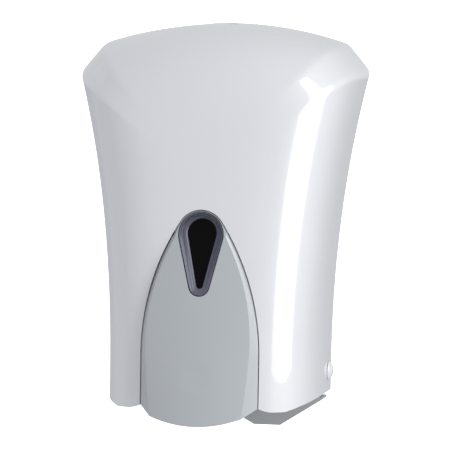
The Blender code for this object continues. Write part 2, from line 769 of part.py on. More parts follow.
# ---- lock ----------------------------------------------------------------
def lock_parts(barrel_finish, cam_finish):
    top = COVER_HEIGHT - LOCK_RECESS
    foot = top - LOCK_LENGTH
    barrel = rod("lock_barrel", "Z", (0, -LOCK_SETBACK), LOCK_RADIUS, foot, top)
    slot = block("slot", (-KEY_SLOT_HALF_LENGTH, KEY_SLOT_HALF_LENGTH),
                 (-LOCK_SETBACK - KEY_SLOT_HALF_WIDTH, -LOCK_SETBACK + KEY_SLOT_HALF_WIDTH),
                 (top - KEY_SLOT_DEPTH, top + OVERCUT))
    cut(barrel, slot)
    refinish(barrel, barrel_finish, 40)
    high = foot - SEAT_GAP
    cam = block("lock_cam", (-CAM_HALF_WIDTH, CAM_HALF_WIDTH),
                (-LOCK_SETBACK - LOCK_RADIUS + CAM_REAR_INSET, -LOCK_SETBACK + CAM_LENGTH),
                (high - CAM_THICKNESS, high), cam_finish)
    return barrel, cam


def lock_strike(finish):
    """A hooked arm on the back plate; the cam turns in behind its upstand."""
    cam_high = COVER_HEIGHT - LOCK_RECESS - LOCK_LENGTH - SEAT_GAP
    floor = cam_high - CAM_THICKNESS - CAM_FLOOR_GAP
    front = -LOCK_SETBACK - CAM_HALF_WIDTH - CAM_FRONT_GAP
    inner_x = -(CAM_HALF_WIDTH + STRIKE_SIDE_GAP)
    outer_x = inner_x - STRIKE_WIDTH
    rear = -PLATE_THICKNESS - SEAT_GAP
    profile = [(rear, floor - STRIKE_FOOT), (rear, floor), (front, floor), (front, cam_high),
               (front - STRIKE_WALL, cam_high), (front - STRIKE_WALL, floor - STRIKE_WALL),
               (rear - STRIKE_WALL, floor - STRIKE_WALL), (rear - STRIKE_WALL, floor - STRIKE_FOOT)]
    return prism("lock_strike", profile, "X", outer_x, inner_x, finish)


# ---- back plate and skirt ------------------------------------------------
def plate_foot():
    return HINGE_HEIGHT - PLATE_FOOT_DROP


def plate_half_outline(margin):
    """Right half of the back plate, inside the cover by a margin."""
    edge = inset(half_outline(), COVER_WALL + margin)
    foot = plate_foot()
    return [(edge[0][0], foot)] + [point for point in edge if point[1] > foot]


def mirrored(half):
    left = [(-x, z) for x, z in reversed(half) if x > 1e-6]
    return half + left


def screw_places():
    half = SCREW_SPACING_X / 2
    return [(side * half, z) for z in (SCREW_LOW_HEIGHT, SCREW_HIGH_HEIGHT) for side in (-1, 1)]


def hinge_ear_outer():
    return side_half_width(HINGE_HEIGHT) - COVER_WALL - HINGE_EAR_CLEARANCE


def back_plate(finish):
    depth = PLATE_THICKNESS + PLATE_LIP
    plate = prism("back_plate", mirrored(plate_half_outline(PLATE_MARGIN)), "Y", -depth, 0)
    pocket = mirrored(plate_half_outline(PLATE_MARGIN + PLATE_LIP_WALL))
    pocket = [(x, z + PLATE_LIP_WALL if z == plate_foot() else z) for x, z in pocket]
    cut(plate, prism("pocket", pocket, "Y", -2 * depth, -PLATE_THICKNESS))
    ear_outer = hinge_ear_outer()
    for side in (-1, 1):
        ear = block("ear", sorted((side * ear_outer, side * (ear_outer - HINGE_EAR_THICKNESS))),
                    (-HINGE_SETBACK - HINGE_EAR_HALF_HEIGHT, -0.5 * PLATE_THICKNESS),
                    (HINGE_HEIGHT - HINGE_EAR_HALF_HEIGHT, HINGE_HEIGHT + HINGE_EAR_HALF_HEIGHT))
        join(plate, ear)
        shelf_x = (side * SHELF_OFFSET - SHELF_HALF_WIDTH, side * SHELF_OFFSET + SHELF_HALF_WIDTH)
        shelf = block("shelf", shelf_x, (-TANK_FRONT * 0.5, -0.5 * PLATE_THICKNESS),
                      (TANK_BASE - SEAT_GAP - SHELF_THICKNESS, TANK_BASE - SEAT_GAP))
        join(plate, shelf)
    hole = HINGE_PIN_RADIUS + RUN_GAP
    cut(plate, rod("hole", "X", (-HINGE_SETBACK, HINGE_HEIGHT), hole, -2 * ear_outer, 2 * ear_outer))
    for x, z in screw_places():
        cut(plate, rod("hole", "Y", (x, z), SCREW_HOLE_RADIUS, -4 * OVERCUT, OVERCUT, count=16))
    return refinish(plate, finish, 25)


def wall_screws(finish):
    """Pan-head screws; each shank ends flush with the wall face."""
    screws = []
    seat = PLATE_THICKNESS + SEAT_GAP
    for number, (x, z) in enumerate(screw_places(), 1):
        profile = [(0, seat - SCREW_LENGTH), (SCREW_SHANK_RADIUS, seat - SCREW_LENGTH),
                   (SCREW_SHANK_RADIUS, seat), (SCREW_HEAD_RADIUS, seat),
                   (SCREW_HEAD_RADIUS, seat + SCREW_HEAD_RIM),
                   (SCREW_HEAD_RADIUS * 0.6, seat + SCREW_HEAD_HEIGHT), (0, seat + SCREW_HEAD_HEIGHT)]
        name = "wall_screw_%d" % number
        screw = turned(name, profile, (x, 0, z), (0, -1, 0), None, count=16, closed=False)
        drive_foot = -seat - SCREW_HEAD_HEIGHT + SCREW_DRIVE_DEPTH
        for across, along in ((SCREW_DRIVE_REACH, SCREW_DRIVE_HALF_WIDTH),
                              (SCREW_DRIVE_HALF_WIDTH, SCREW_DRIVE_REACH)):
            drive = block("drive", (x - across, x + across), (-seat - OVERCUT, drive_foot),
                          (z - along, z + along))
            cut(screw, drive)
        screws.append(refinish(screw, finish, 40))
    return screws


def skirt_foot(shrink):
    """Right half of the skirt's lower edge, with a notch behind the spout."""
    foot = -SKIRT_DROP + shrink
    slant = shrink * 0.45
    return [(SKIRT_FOOT_OUTER - slant, foot), (SKIRT_FOOT_INNER + slant, foot),
            (SKIRT_NOTCH_HALF_WIDTH + slant, foot + SKIRT_NOTCH_RISE)]


def lower_skirt(finish):
    """Lower shroud below the back plate, open at its top."""
    side = hinge_ear_outer()
    top = plate_foot() - SEAT_GAP
    shoulder = top - SKIRT_SHOULDER
    outline = [(side, top), (side, shoulder)] + skirt_foot(0.0)
    skirt = prism("lower_skirt", mirrored(outline), "Y", -SKIRT_DEPTH, 0)
    pocket = [(side - SKIRT_WALL, top + 4 * OVERCUT), (side - SKIRT_WALL, shoulder)]
    pocket = mirrored(pocket + skirt_foot(SKIRT_WALL))
    cut(skirt, prism("pocket", pocket, "Y", -SKIRT_DEPTH + SKIRT_WALL, -PLATE_THICKNESS))
    return refinish(skirt, finish)


# ---- soap tank -----------------------------------------------------------
def rounded_rectangle(x_half, y_low, y_high, radius, steps=4):
    points = []
    corners = [(x_half, y_high, 0), (-x_half, y_high, 90), (-x_half, y_low, 180), (x_half, y_low, 270)]
    for x, y, start in corners:
        cx = x - math.copysign(radius, x)
        cy = y - radius if y == y_high else y + radius
        for i in range(steps + 1):
            angle = math.radians(start + 90 * i / steps)
            points.append((cx + radius * math.cos(angle), cy + radius * math.sin(angle)))
    return points


def tank_rear():
    return -(PLATE_THICKNESS + PLATE_LIP + TANK_REAR_GAP)


def lid_base():
    return TANK_TOP + SEAT_GAP + 2 * SEAL_SECTION


def lid_axis():
    """y and z of the lid's hinge, just behind the tank."""
    return tank_rear() + LID_HINGE_GAP, lid_base() + LID_EYE_SETBACK


def tank_ears(tank):
    """Two eyes behind the tank's rim that hold the lid's pins."""
    y, z = lid_axis()
    hole = LID_PIN_RADIUS + RUN_GAP
    for side in (-1, 1):
        near = LID_LUG_X + LID_LUG_WIDTH + RUN_GAP
        span = sorted((side * near, side * (near + LID_EAR_WIDTH)))
        neck = block("neck", span, (y - LID_EYE_RADIUS, y + LID_EYE_RADIUS), (z - LID_EAR_DROP, z))
        join(neck, rod("eye", "X", (y, z), LID_EYE_RADIUS, span[0], span[1]))
        foot = block("foot", span, (tank_rear() - 0.5 * TANK_WALL, y),
                     (z - LID_EAR_DROP, z - LID_EAR_FOOT_TOP))
        join(neck, foot)
        join(tank, neck)
    cut(tank, rod("hole", "X", (y, z), hole, -TANK_HALF_WIDTH, TANK_HALF_WIDTH))


def soap_tank(finish):
    outline = rounded_rectangle(TANK_HALF_WIDTH, -TANK_FRONT, tank_rear(), TANK_CORNER)
    hollow = rounded_rectangle(TANK_HALF_WIDTH - TANK_WALL, -TANK_FRONT + TANK_WALL,
                               tank_rear() - TANK_WALL, TANK_CORNER - TANK_WALL)
    tank = prism("soap_tank", outline, "Z", TANK_BASE, TANK_TOP)
    neck_foot = TANK_BASE - TANK_NECK_DROP
    join(tank, rod("neck", "Z", (0, -PORT_DEPTH), NECK_BORE + NECK_WALL, neck_foot,
                   TANK_BASE + 0.5 * TANK_WALL))
    tank_ears(tank)
    cut(tank, prism("hollow", hollow, "Z", TANK_BASE + TANK_WALL, TANK_TOP + OVERCUT))
    cut(tank, rod("bore", "Z", (0, -PORT_DEPTH), NECK_BORE, neck_foot - OVERCUT, TANK_BASE + OVERCUT))
    return refinish(tank, finish, 30)


def tank_lid(finish):
    base = lid_base()
    outline = rounded_rectangle(TANK_HALF_WIDTH + LID_OVERHANG, -TANK_FRONT - LID_OVERHANG,
                                tank_rear(), TANK_CORNER)
    lid = prism("tank_lid", outline, "Z", base, base + LID_THICKNESS)
    grip_front = -TANK_FRONT + LID_GRIP_SETBACK
    grip = block("grip", (-LID_GRIP_HALF_WIDTH, LID_GRIP_HALF_WIDTH),
                 (grip_front, grip_front + LID_GRIP_DEPTH),
                 (base + 0.5 * LID_THICKNESS, base + LID_THICKNESS + LID_GRIP_RISE))
    join(lid, grip)
    y, z = lid_axis()
    for side in (-1, 1):
        span = sorted((side * LID_LUG_X, side * (LID_LUG_X + LID_LUG_WIDTH)))
        lug = block("lug", span, (tank_rear() - 0.5 * LID_THICKNESS, y),
                    (z - 0.25 * LID_EYE_RADIUS, z + LID_EYE_RADIUS))
        join(lug, rod("eye", "X", (y, z), LID_EYE_RADIUS, span[0], span[1]))
        join(lid, lug)
    cut(lid, rod("hole", "X", (y, z), LID_PIN_RADIUS + RUN_GAP, -TANK_HALF_WIDTH, TANK_HALF_WIDTH))
    return refinish(lid, finish, 30)


def lid_pins(finish):
    """Two short pins through the tank's eyes and the lid's lugs."""
    y, z = lid_axis()
    outer = LID_LUG_X + LID_LUG_WIDTH + RUN_GAP + LID_EAR_WIDTH
    pins = []
    for side, label in ((-1, "left"), (1, "right")):
        ends = sorted((side * LID_LUG_X, side * outer))
        pins.append(rod("lid_pin_" + label, "X", (y, z), LID_PIN_RADIUS, ends[0], ends[1], finish, 16))
    return pins


def lid_seal(finish):
    low = TANK_TOP + SEAT_GAP * 0.5
    width = LID_SEAL_WIDTH
    outer = rounded_rectangle(TANK_HALF_WIDTH, -TANK_FRONT, tank_rear(), TANK_CORNER)
    inner = rounded_rectangle(TANK_HALF_WIDTH - width, -TANK_FRONT + width, tank_rear() - width,
                              TANK_CORNER - width)
    mesh_data = bmesh.new()
    rings = []
    for outline, z in ((outer, low), (outer, low + 2 * SEAL_SECTION),
                       (inner, low + 2 * SEAL_SECTION), (inner, low)):
        rings.append([mesh_data.verts.new((x, y, z)) for x, y in outline])
    for first, second in zip(rings, rings[1:] + rings[:1]):
        bridge(mesh_data, first, second, closed=True)
    return solid("tank_lid_seal", mesh_data, finish)


def ring_seal(name, base, axis, inner, section, finish):
    """An O-ring with the given inner radius and section radius."""
    middle = inner + section
    profile = []
    for i in range(10):
        angle = math.tau * i / 10
        profile.append((middle + section * math.cos(angle), section * math.sin(angle)))
    return turned(name, profile, base, axis, finish)


# ---- pump ----------------------------------------------------------------
def pump_body(finish):
    outer = PUMP_BORE + PUMP_WALL
    body = rod("pump_body", "Y", (0, PUMP_HEIGHT), outer, -PUMP_FRONT, -PUMP_REAR)
    join(body, rod("inlet", "Z", (0, -PORT_DEPTH), INLET_RADIUS, PUMP_HEIGHT + OVERCUT, INLET_TOP))
    join(body, rod("outlet", "Z", (0, -PORT_DEPTH), OUTLET_RADIUS, OUTLET_FOOT, PUMP_HEIGHT - OVERCUT))
    cut(body, rod("bore", "Y", (0, PUMP_HEIGHT), PUMP_BORE, -PUMP_FRONT - OVERCUT, -PUMP_REAR - PUMP_WALL))
    seat_high = PUMP_HEIGHT + PUMP_BORE + VALVE_SEAT
    seat_low = PUMP_HEIGHT - PUMP_BORE - VALVE_SEAT
    cut(body, rod("bore", "Z", (0, -PORT_DEPTH), INLET_BORE, seat_high, INLET_TOP + OVERCUT))
    cut(body, rod("bore", "Z", (0, -PORT_DEPTH), OUTLET_BORE, OUTLET_FOOT - OVERCUT, seat_low))
    cut(body, rod("bore", "Z", (0, -PORT_DEPTH), VALVE_PORT_RADIUS, seat_low - OVERCUT,
                  seat_high + OVERCUT, count=12))
    return refinish(body, finish, 40)


def valve_balls(finish):
    """Two check-valve balls, one over the inlet seat and one under the outlet seat."""
    balls = []
    offset = PUMP_BORE + VALVE_SEAT + VALVE_LIFT + VALVE_BALL
    inlet_z = PUMP_HEIGHT + offset
    outlet_z = PUMP_HEIGHT - offset
    for name, z in (("inlet_valve_ball", inlet_z), ("outlet_valve_ball", outlet_z)):
        profile = [(VALVE_BALL * math.sin(math.pi * i / 8), -VALVE_BALL * math.cos(math.pi * i / 8))
                   for i in range(9)]
        profile[0] = (0, -VALVE_BALL)
        profile[-1] = (0, VALVE_BALL)
        balls.append(turned(name, profile, (0, -PORT_DEPTH, z), (0, 0, 1), finish, count=12, closed=False))
    return balls


def pump_cap(finish):
    """Screw cap that guides the rod at the front of the pump."""
    hole = ROD_RADIUS + RUN_GAP
    rim = PUMP_BORE + PUMP_WALL + RUN_GAP
    outer = rim + COLLAR_WALL
    face = PUMP_FRONT + SEAT_GAP
    profile = [(hole, face), (rim, face), (rim, face - CAP_SKIRT), (outer, face - CAP_SKIRT),
               (outer, face + CAP_THICKNESS), (hole, face + CAP_THICKNESS)]
    return turned("pump_cap", profile, (0, 0, PUMP_HEIGHT), (0, -1, 0), finish)


def piston_parts(plastic, rubber):
    """Piston with its rod, its seal ring and the push head."""
    radius = PUMP_BORE - RUN_GAP
    groove = radius - 2 * SEAL_SECTION + RUN_GAP
    rear = PISTON_START - PISTON_LENGTH
    middle = (rear + PISTON_START) / 2
    half = SEAL_SECTION + RUN_GAP
    profile = [(0, rear), (radius, rear), (radius, middle - half), (groove, middle - half),
               (groove, middle + half), (radius, middle + half), (radius, PISTON_START),
               (ROD_RADIUS, PISTON_START), (ROD_RADIUS, HEAD_FRONT - HEAD_THICKNESS - SEAT_GAP),
               (0, HEAD_FRONT - HEAD_THICKNESS - SEAT_GAP)]
    base = (0, 0, PUMP_HEIGHT)
    piston = turned("piston", profile, base, (0, -1, 0), plastic, closed=False)
    seal_section = (PUMP_BORE - groove) / 2 - SEAL_SQUEEZE
    seal = ring_seal("piston_seal", (0, -middle, PUMP_HEIGHT), (0, -1, 0), groove + SEAL_SQUEEZE,
                     min(seal_section, SEAL_SECTION), rubber)
    back = HEAD_FRONT - HEAD_THICKNESS
    head_profile = [(0, back), (HEAD_RADIUS, back), (HEAD_RADIUS, HEAD_FRONT - HEAD_CHAMFER),
                    (HEAD_RADIUS - HEAD_CHAMFER, HEAD_FRONT), (0, HEAD_FRONT)]
    head = turned("push_head", head_profile, base, (0, -1, 0), plastic, closed=False)
    return piston, seal, head


def return_spring(finish):
    """A helix between the pump cap and the push head."""
    start = PUMP_FRONT + SEAT_GAP + CAP_THICKNESS + SPRING_WIRE + SEAT_GAP
    end = HEAD_FRONT - HEAD_THICKNESS - SPRING_WIRE - SEAT_GAP
    coil = ROD_RADIUS + SPRING_WIRE + SPRING_CLEARANCE
    per_turn = 12
    count = SPRING_COILS * per_turn
    mesh_data = bmesh.new()
    rings = []
    for i in range(count + 1):
        angle = math.tau * i / per_turn
        out = Vector((math.cos(angle), 0, math.sin(angle)))
        middle = coil * out + Vector((0, -(start + (end - start) * i / count), PUMP_HEIGHT))
        ring = []
        for a, b in circle(SPRING_WIRE, count=6):
            ring.append(mesh_data.verts.new(middle + a * out + Vector((0, b, 0))))
        rings.append(ring)
    for first, second in zip(rings, rings[1:]):
        bridge(mesh_data, first, second, closed=True)
    mesh_data.faces.new(rings[0])
    mesh_data.faces.new(list(reversed(rings[-1])))
    return solid("return_spring", mesh_data, finish, 60)


def spout_path():
    """Down from the pump outlet, forward, then down again to the tip."""
    bend = SPOUT_BEND
    run_z = OUTLET_FOOT - SEAT_GAP - SPOUT_DROP
    points = [(-PORT_DEPTH, OUTLET_FOOT - SEAT_GAP)]
    for i in range(4):
        angle = math.radians(90 * i / 3)
        points.append((-PORT_DEPTH - bend * (1 - math.cos(angle)), run_z + bend * (1 - math.sin(angle))))
    for i in range(4):
        angle = math.radians(90 * i / 3)
        points.append((-SPOUT_REACH + bend * (1 - math.sin(angle)), run_z - bend * (1 - math.cos(angle))))
    points.append((-SPOUT_REACH, SPOUT_TIP))
    return points


def spout(finish):
    return tube("spout", spout_path(), SPOUT_RADIUS, SPOUT_BORE, finish)


def spout_nut(finish):
    """Collar that clamps the spout to the pump outlet."""
    grip = OUTLET_RADIUS + RUN_GAP
    outer = grip + COLLAR_WALL
    low = OUTLET_FOOT - SEAT_GAP - NUT_FLOOR
    hole = SPOUT_RADIUS + RUN_GAP
    shelf = OUTLET_FOOT - SEAT_GAP
    profile = [(hole, low), (outer, low), (outer, shelf + NUT_GRIP), (grip, shelf + NUT_GRIP),
               (grip, shelf), (hole, shelf)]
    return turned("spout_nut", profile, (0, -PORT_DEPTH, 0), (0, 0, 1), finish)


def pump_cradle(finish):
    """Bracket on the back plate with a saddle for the pump barrel."""
    rear = -PLATE_THICKNESS - SEAT_GAP
    barrel = PUMP_BORE + PUMP_WALL + SEAT_GAP
    flange = block("pump_cradle", (-CRADLE_HALF_WIDTH, CRADLE_HALF_WIDTH),
                   (rear - CRADLE_THICKNESS, rear),
                   (PUMP_HEIGHT - CRADLE_HALF_HEIGHT, PUMP_HEIGHT + CRADLE_HALF_HEIGHT))
    for side in (-1, 1):
        near = side * (barrel - 0.5 * CRADLE_THICKNESS)
        far = side * (barrel + CRADLE_ARM_WALL)
        arm = block("arm", sorted((near, far)),
                    (-PORT_DEPTH - CRADLE_ARM_REACH, rear - 0.5 * CRADLE_THICKNESS),
                    (PUMP_HEIGHT - CRADLE_ARM_DROP, PUMP_HEIGHT))
        join(flange, arm)
    cut(flange, rod("saddle", "Y", (0, PUMP_HEIGHT), barrel, -2 * PUMP_FRONT,
                    rear - CRADLE_THICKNESS - SEAT_GAP))
    for x in (-CRADLE_SCREW_X, CRADLE_SCREW_X):
        cut(flange, rod("hole", "Y", (x, PUMP_HEIGHT), CRADLE_HOLE_RADIUS, -4 * OVERCUT, OVERCUT, count=16))
    return refinish(flange, finish, 30)


def cradle_screws(finish):
    screws = []
    tip = PLATE_THICKNESS + SEAT_GAP
    seat = tip + CRADLE_THICKNESS + SEAT_GAP
    for label, x in (("left", -CRADLE_SCREW_X), ("right", CRADLE_SCREW_X)):
        profile = [(0, tip), (CRADLE_SCREW_RADIUS, tip), (CRADLE_SCREW_RADIUS, seat),
                   (CRADLE_HEAD_RADIUS, seat), (CRADLE_HEAD_RADIUS, seat + CRADLE_HEAD_RIM),
                   (CRADLE_HEAD_RADIUS * 0.67, seat + CRADLE_HEAD_HEIGHT), (0, seat + CRADLE_HEAD_HEIGHT)]
        screws.append(turned("cradle_screw_" + label, profile, (x, 0, PUMP_HEIGHT), (0, -1, 0), finish,
                             count=16, closed=False))
    return screws


def main():
    clear_scene()
    white = material("gloss_white_abs", (0.80, 0.81, 0.83), 0.18)
    silver = material("satin_silver_abs", (0.50, 0.53, 0.55), 0.35, 0.3)
    slate = material("slate_bezel_abs", (0.13, 0.135, 0.18), 0.3)
    lens = material("smoked_lens", (0.01, 0.01, 0.012), 0.05)
    grey = material("grey_chassis_abs", (0.33, 0.34, 0.35), 0.5)
    clear = material("tank_polythene", (0.85, 0.87, 0.88), 0.35, 0.0, 0.6)
    black = material("black_acetal", (0.03, 0.03, 0.032), 0.4)
    natural = material("natural_acetal", (0.78, 0.77, 0.72), 0.4)
    rubber = material("nitrile_rubber", (0.02, 0.02, 0.02), 0.7)
    steel = material("zinc_steel", (0.60, 0.61, 0.62), 0.3, 1.0)

    back_plate(grey)
    lower_skirt(grey)
    wall_screws(steel)
    pump_cradle(grey)
    cradle_screws(steel)
    lock_strike(grey)
    soap_tank(clear)
    hang("lid_axis", (0, *lid_axis()), [tank_lid(natural)])
    lid_pins(steel)
    lid_seal(rubber)
    ring_seal("neck_seal", (0, -PORT_DEPTH, INLET_TOP - NECK_SEAL_DROP), (0, 0, 1),
              INLET_RADIUS + SEAL_SQUEEZE,
              (NECK_BORE - INLET_RADIUS) / 2 - SEAL_SQUEEZE, rubber)
    pump_body(natural)
    valve_balls(steel)
    pump_cap(black)
    spout(natural)
    spout_nut(black)
    return_spring(steel)

    hinge = (0, -HINGE_SETBACK, HINGE_HEIGHT)
    cover_items = [front_cover(white)] + hinge_caps(white) + lever_pins(steel)
    cover_body = hang("cover_axis", hinge, cover_items)
    lever_items = [push_lever(silver), window_bezel(slate), window_lens(lens)]
    lever_pivot = (0, FRONT_Y + LEVER_PIVOT_SETBACK, LEVER_PIVOT_HEIGHT)
    hang("lever_axis", lever_pivot, lever_items, cover_body)
    lock_axis = (0, -LOCK_SETBACK, COVER_HEIGHT)
    hang("lock_axis", lock_axis, lock_parts(steel, steel), cover_body)
    hang("piston_axis", (0, -HEAD_FRONT, PUMP_HEIGHT), piston_parts(natural, rubber))


main()
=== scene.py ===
# %% [markdown]
# # A wall mounted soap dispenser
# The working parts arrive as a fixed frame: every node is already in metres, where the design
# puts it. This lesson adds what the design leaves out, which is the smooth moulded skins, the
# window frame, and a finish for each plastic, rubber and steel part.

# %% Load the frame
import json
import math

import bmesh
import bpy
from mathutils import Matrix, Vector

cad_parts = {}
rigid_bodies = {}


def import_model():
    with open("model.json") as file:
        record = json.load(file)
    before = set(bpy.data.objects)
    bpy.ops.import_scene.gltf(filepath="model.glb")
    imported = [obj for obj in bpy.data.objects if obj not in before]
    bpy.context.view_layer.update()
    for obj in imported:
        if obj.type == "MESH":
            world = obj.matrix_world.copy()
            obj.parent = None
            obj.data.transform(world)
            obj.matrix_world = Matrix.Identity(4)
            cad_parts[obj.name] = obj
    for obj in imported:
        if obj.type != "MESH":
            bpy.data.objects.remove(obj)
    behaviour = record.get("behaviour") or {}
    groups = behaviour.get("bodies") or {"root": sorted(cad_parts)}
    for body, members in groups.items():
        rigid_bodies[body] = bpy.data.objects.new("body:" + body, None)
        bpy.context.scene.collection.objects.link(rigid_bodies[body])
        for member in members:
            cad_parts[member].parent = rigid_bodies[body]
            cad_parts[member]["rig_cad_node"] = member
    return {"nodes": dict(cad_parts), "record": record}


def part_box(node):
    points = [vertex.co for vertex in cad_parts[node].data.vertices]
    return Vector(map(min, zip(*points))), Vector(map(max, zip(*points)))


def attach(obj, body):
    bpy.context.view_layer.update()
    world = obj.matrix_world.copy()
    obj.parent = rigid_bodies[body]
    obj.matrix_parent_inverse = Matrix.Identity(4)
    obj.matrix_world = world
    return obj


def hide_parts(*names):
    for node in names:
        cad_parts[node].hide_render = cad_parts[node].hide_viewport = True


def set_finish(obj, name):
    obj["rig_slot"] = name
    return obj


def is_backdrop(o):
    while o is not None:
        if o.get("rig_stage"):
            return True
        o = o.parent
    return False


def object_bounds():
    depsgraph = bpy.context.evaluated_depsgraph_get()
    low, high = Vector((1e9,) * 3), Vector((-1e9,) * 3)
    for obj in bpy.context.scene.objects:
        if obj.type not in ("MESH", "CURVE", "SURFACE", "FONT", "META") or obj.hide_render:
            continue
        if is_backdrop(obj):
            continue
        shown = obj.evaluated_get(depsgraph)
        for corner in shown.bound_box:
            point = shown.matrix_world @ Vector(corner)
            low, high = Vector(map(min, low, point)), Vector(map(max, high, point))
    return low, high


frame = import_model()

design_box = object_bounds()
print("design box in metres:", [[round(c, 4) for c in corner] for corner in design_box])

# %% [markdown]
# ## Units and small tools
# Moulded parts are drawn in millimetres and Blender works in metres, so one factor turns one
# into the other. Colours are written as the sRGB hex values that a maker reads off a swatch,
# and one function turns them into the linear values that shaders use.

# %% Units, colour and node helpers
MM = 0.001


def linear(hex_colour):
    """sRGB hex to a linear colour with full alpha."""
    values = [int(hex_colour[i:i + 2], 16) / 255 for i in (1, 3, 5)]
    return tuple(v / 12.92 if v <= 0.04045 else ((v + 0.055) / 1.055) ** 2.4 for v in values) + (1.0,)


def add_node(tree, kind, settings=None, links=None, out=None):
    """Add one node. settings sets inputs and properties by name; links feeds inputs.

    out is (output name, socket) for a socket that this node feeds.
    """
    node = tree.nodes.new(kind)
    for key, value in (settings or {}).items():
        if key in node.inputs:
            node.inputs[key].default_value = value
        else:
            setattr(node, key, value)
    for key, source in (links or {}).items():
        tree.links.new(source, node.inputs[key])
    if out:
        tree.links.new(node.outputs[out[0]], out[1])
    return node


# %% [markdown]
# ## Mesh tools
# A moulded skin is a net of rows and columns. These tools turn a net into one mesh, give it a
# real wall with the Solidify modifier, and soften its edges with a bevel, as a mould does.
# Hardened normals keep the flat faces flat right up to each rounded edge.

# %% Net, wall and edge helpers
def new_piece(name, mesh_data, body, smooth_angle=35):
    """A smooth-shaded object from a bmesh, riding on a body of the frame."""
    bmesh.ops.remove_doubles(mesh_data, verts=mesh_data.verts, dist=2e-6)
    bmesh.ops.dissolve_degenerate(mesh_data, edges=mesh_data.edges, dist=1e-6)
    bmesh.ops.recalc_face_normals(mesh_data, faces=mesh_data.faces)
    mesh = bpy.data.meshes.new(name)
    mesh_data.to_mesh(mesh)
    mesh_data.free()
    mesh.shade_smooth()
    mesh.set_sharp_from_angle(angle=math.radians(smooth_angle))
    piece = bpy.data.objects.new(name, mesh)
    bpy.context.scene.collection.objects.link(piece)
    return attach(piece, body)


def add_net(mesh_data, rows, closed=False):
    """Join rows of points, each as long as the next, into quads; returns the vertices."""
    net = [[mesh_data.verts.new(point) for point in row] for row in rows]
    for first, second in zip(net, net[1:]):
        count = len(first) if closed else len(first) - 1
        for i in range(count):
            j = (i + 1) % len(first)
            mesh_data.faces.new([first[i], first[j], second[j], second[i]])
    return net


def thicken(piece, wall):
    """Give an open skin a wall on its inner side, and keep the result as its mesh."""
    modifier = piece.modifiers.new("wall", "SOLIDIFY")
    modifier.thickness = wall
    modifier.offset = -1
    modifier.use_even_offset = True
    keep_shape(piece)


def keep_shape(piece):
    """Apply the modifiers of a piece that this script built."""
    graph = bpy.context.evaluated_depsgraph_get()
    shaped = bpy.data.meshes.new_from_object(piece.evaluated_get(graph))
    piece.modifiers.clear()
    piece.data = shaped


def soften(piece, width, segments=3, angle=35):
    """Round every edge that is sharper than an angle in degrees."""
    modifier = piece.modifiers.new("soft edges", "BEVEL")
    modifier.width = width
    modifier.segments = segments
    modifier.limit_method = "ANGLE"
    modifier.angle_limit = math.radians(angle)
    modifier.harden_normals = True
    return piece


# %% [markdown]
# ## The cover's outline
# Seen from the front the cover flares towards the top, its upper corners are cut and rounded,
# and its top is a shallow arch. A designer would trace this outline first, so the script does
# too: a flaring side, a straight corner cut and an arc, with the joins then rounded by a moving
# average, which is close to what polishing does to a mould's corners.

# %% Sizes of the cover, from the frame
cover_low, cover_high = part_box("front_cover")
FOOT_Z = cover_low[2]
TOP_Z = cover_high[2]
RIM_Y = cover_high[1]
COVER_DEPTH = 104.6 * MM
FRONT_Y = RIM_Y - COVER_DEPTH
SHOULDER_HALF = cover_high[0]
COVER_WALL = 2.5 * MM
FOOT_HALF = 66.2 * MM
SHOULDER_Z = FOOT_Z + 208 * MM
WAIST_Z = FOOT_Z + 18.7 * MM
FLARE_POWER = 2.15
CROWN_HALF = 73.9 * MM
CROWN_SAG = 11.8 * MM
CROWN_RADIUS = (CROWN_HALF ** 2 + CROWN_SAG ** 2) / (2 * CROWN_SAG)
print("cover: %.0f mm wide, %.0f mm deep, %.0f mm tall" % (
    2000 * SHOULDER_HALF, 1000 * COVER_DEPTH, 1000 * (TOP_Z - FOOT_Z)))


def side_half(z):
    """Half the cover's width at a height below its shoulder."""
    rise = max(0.0, (z - WAIST_Z) / (SHOULDER_Z - WAIST_Z))
    return FOOT_HALF + (SHOULDER_HALF - FOOT_HALF) * rise ** FLARE_POWER


def crown_z(x):
    """Height of the arched top at a distance from the middle."""
    return TOP_Z - CROWN_RADIUS + math.sqrt(CROWN_RADIUS ** 2 - x * x)


# %% The rounded outline, as points 1 mm apart
STEP = 1 * MM


def resampled(points, step):
    """Points an equal distance apart along a line of points."""
    result = [points[0]]
    left = step
    for a, b in zip(points, points[1:]):
        run = math.dist(a, b)
        done = 0.0
        while run - done >= left:
            done += left
            share = done / run
            result.append((a[0] + (b[0] - a[0]) * share, a[1] + (b[1] - a[1]) * share))
            left = step
        left -= run - done
    return result


def averaged(points, reach):
    """Each point becomes the mean of its neighbours; the ends stay where they are."""
    result = []
    for i in range(len(points)):
        near = min(reach, i, len(points) - 1 - i)
        group = points[i - near:i + near + 1]
        result.append((sum(p[0] for p in group) / len(group), sum(p[1] for p in group) / len(group)))
    return result


UPPER_START_Z = FOOT_Z + 126 * MM
TRACE_STEPS = 80
side_heights = [UPPER_START_Z + (SHOULDER_Z - UPPER_START_Z) * i / TRACE_STEPS
                for i in range(TRACE_STEPS + 1)]
side_points = [(side_half(z), z) for z in side_heights]
crown_runs = [CROWN_HALF * (1 - i / TRACE_STEPS) for i in range(TRACE_STEPS + 1)]
crown_points = [(x, crown_z(x)) for x in crown_runs]
mirror_points = [(-x, z) for x, z in reversed(side_points + crown_points)][1:]
CORNER_REACH = 2
CORNER_PASSES = 2
upper_outline = resampled(side_points + crown_points + mirror_points, STEP)
for _ in range(CORNER_PASSES):
    upper_outline = averaged(upper_outline, CORNER_REACH)
upper_outline = [point for point in upper_outline if point[0] > 0.4 * STEP] + [(0.0, TOP_Z)]
print("upper outline:", len(upper_outline), "points")

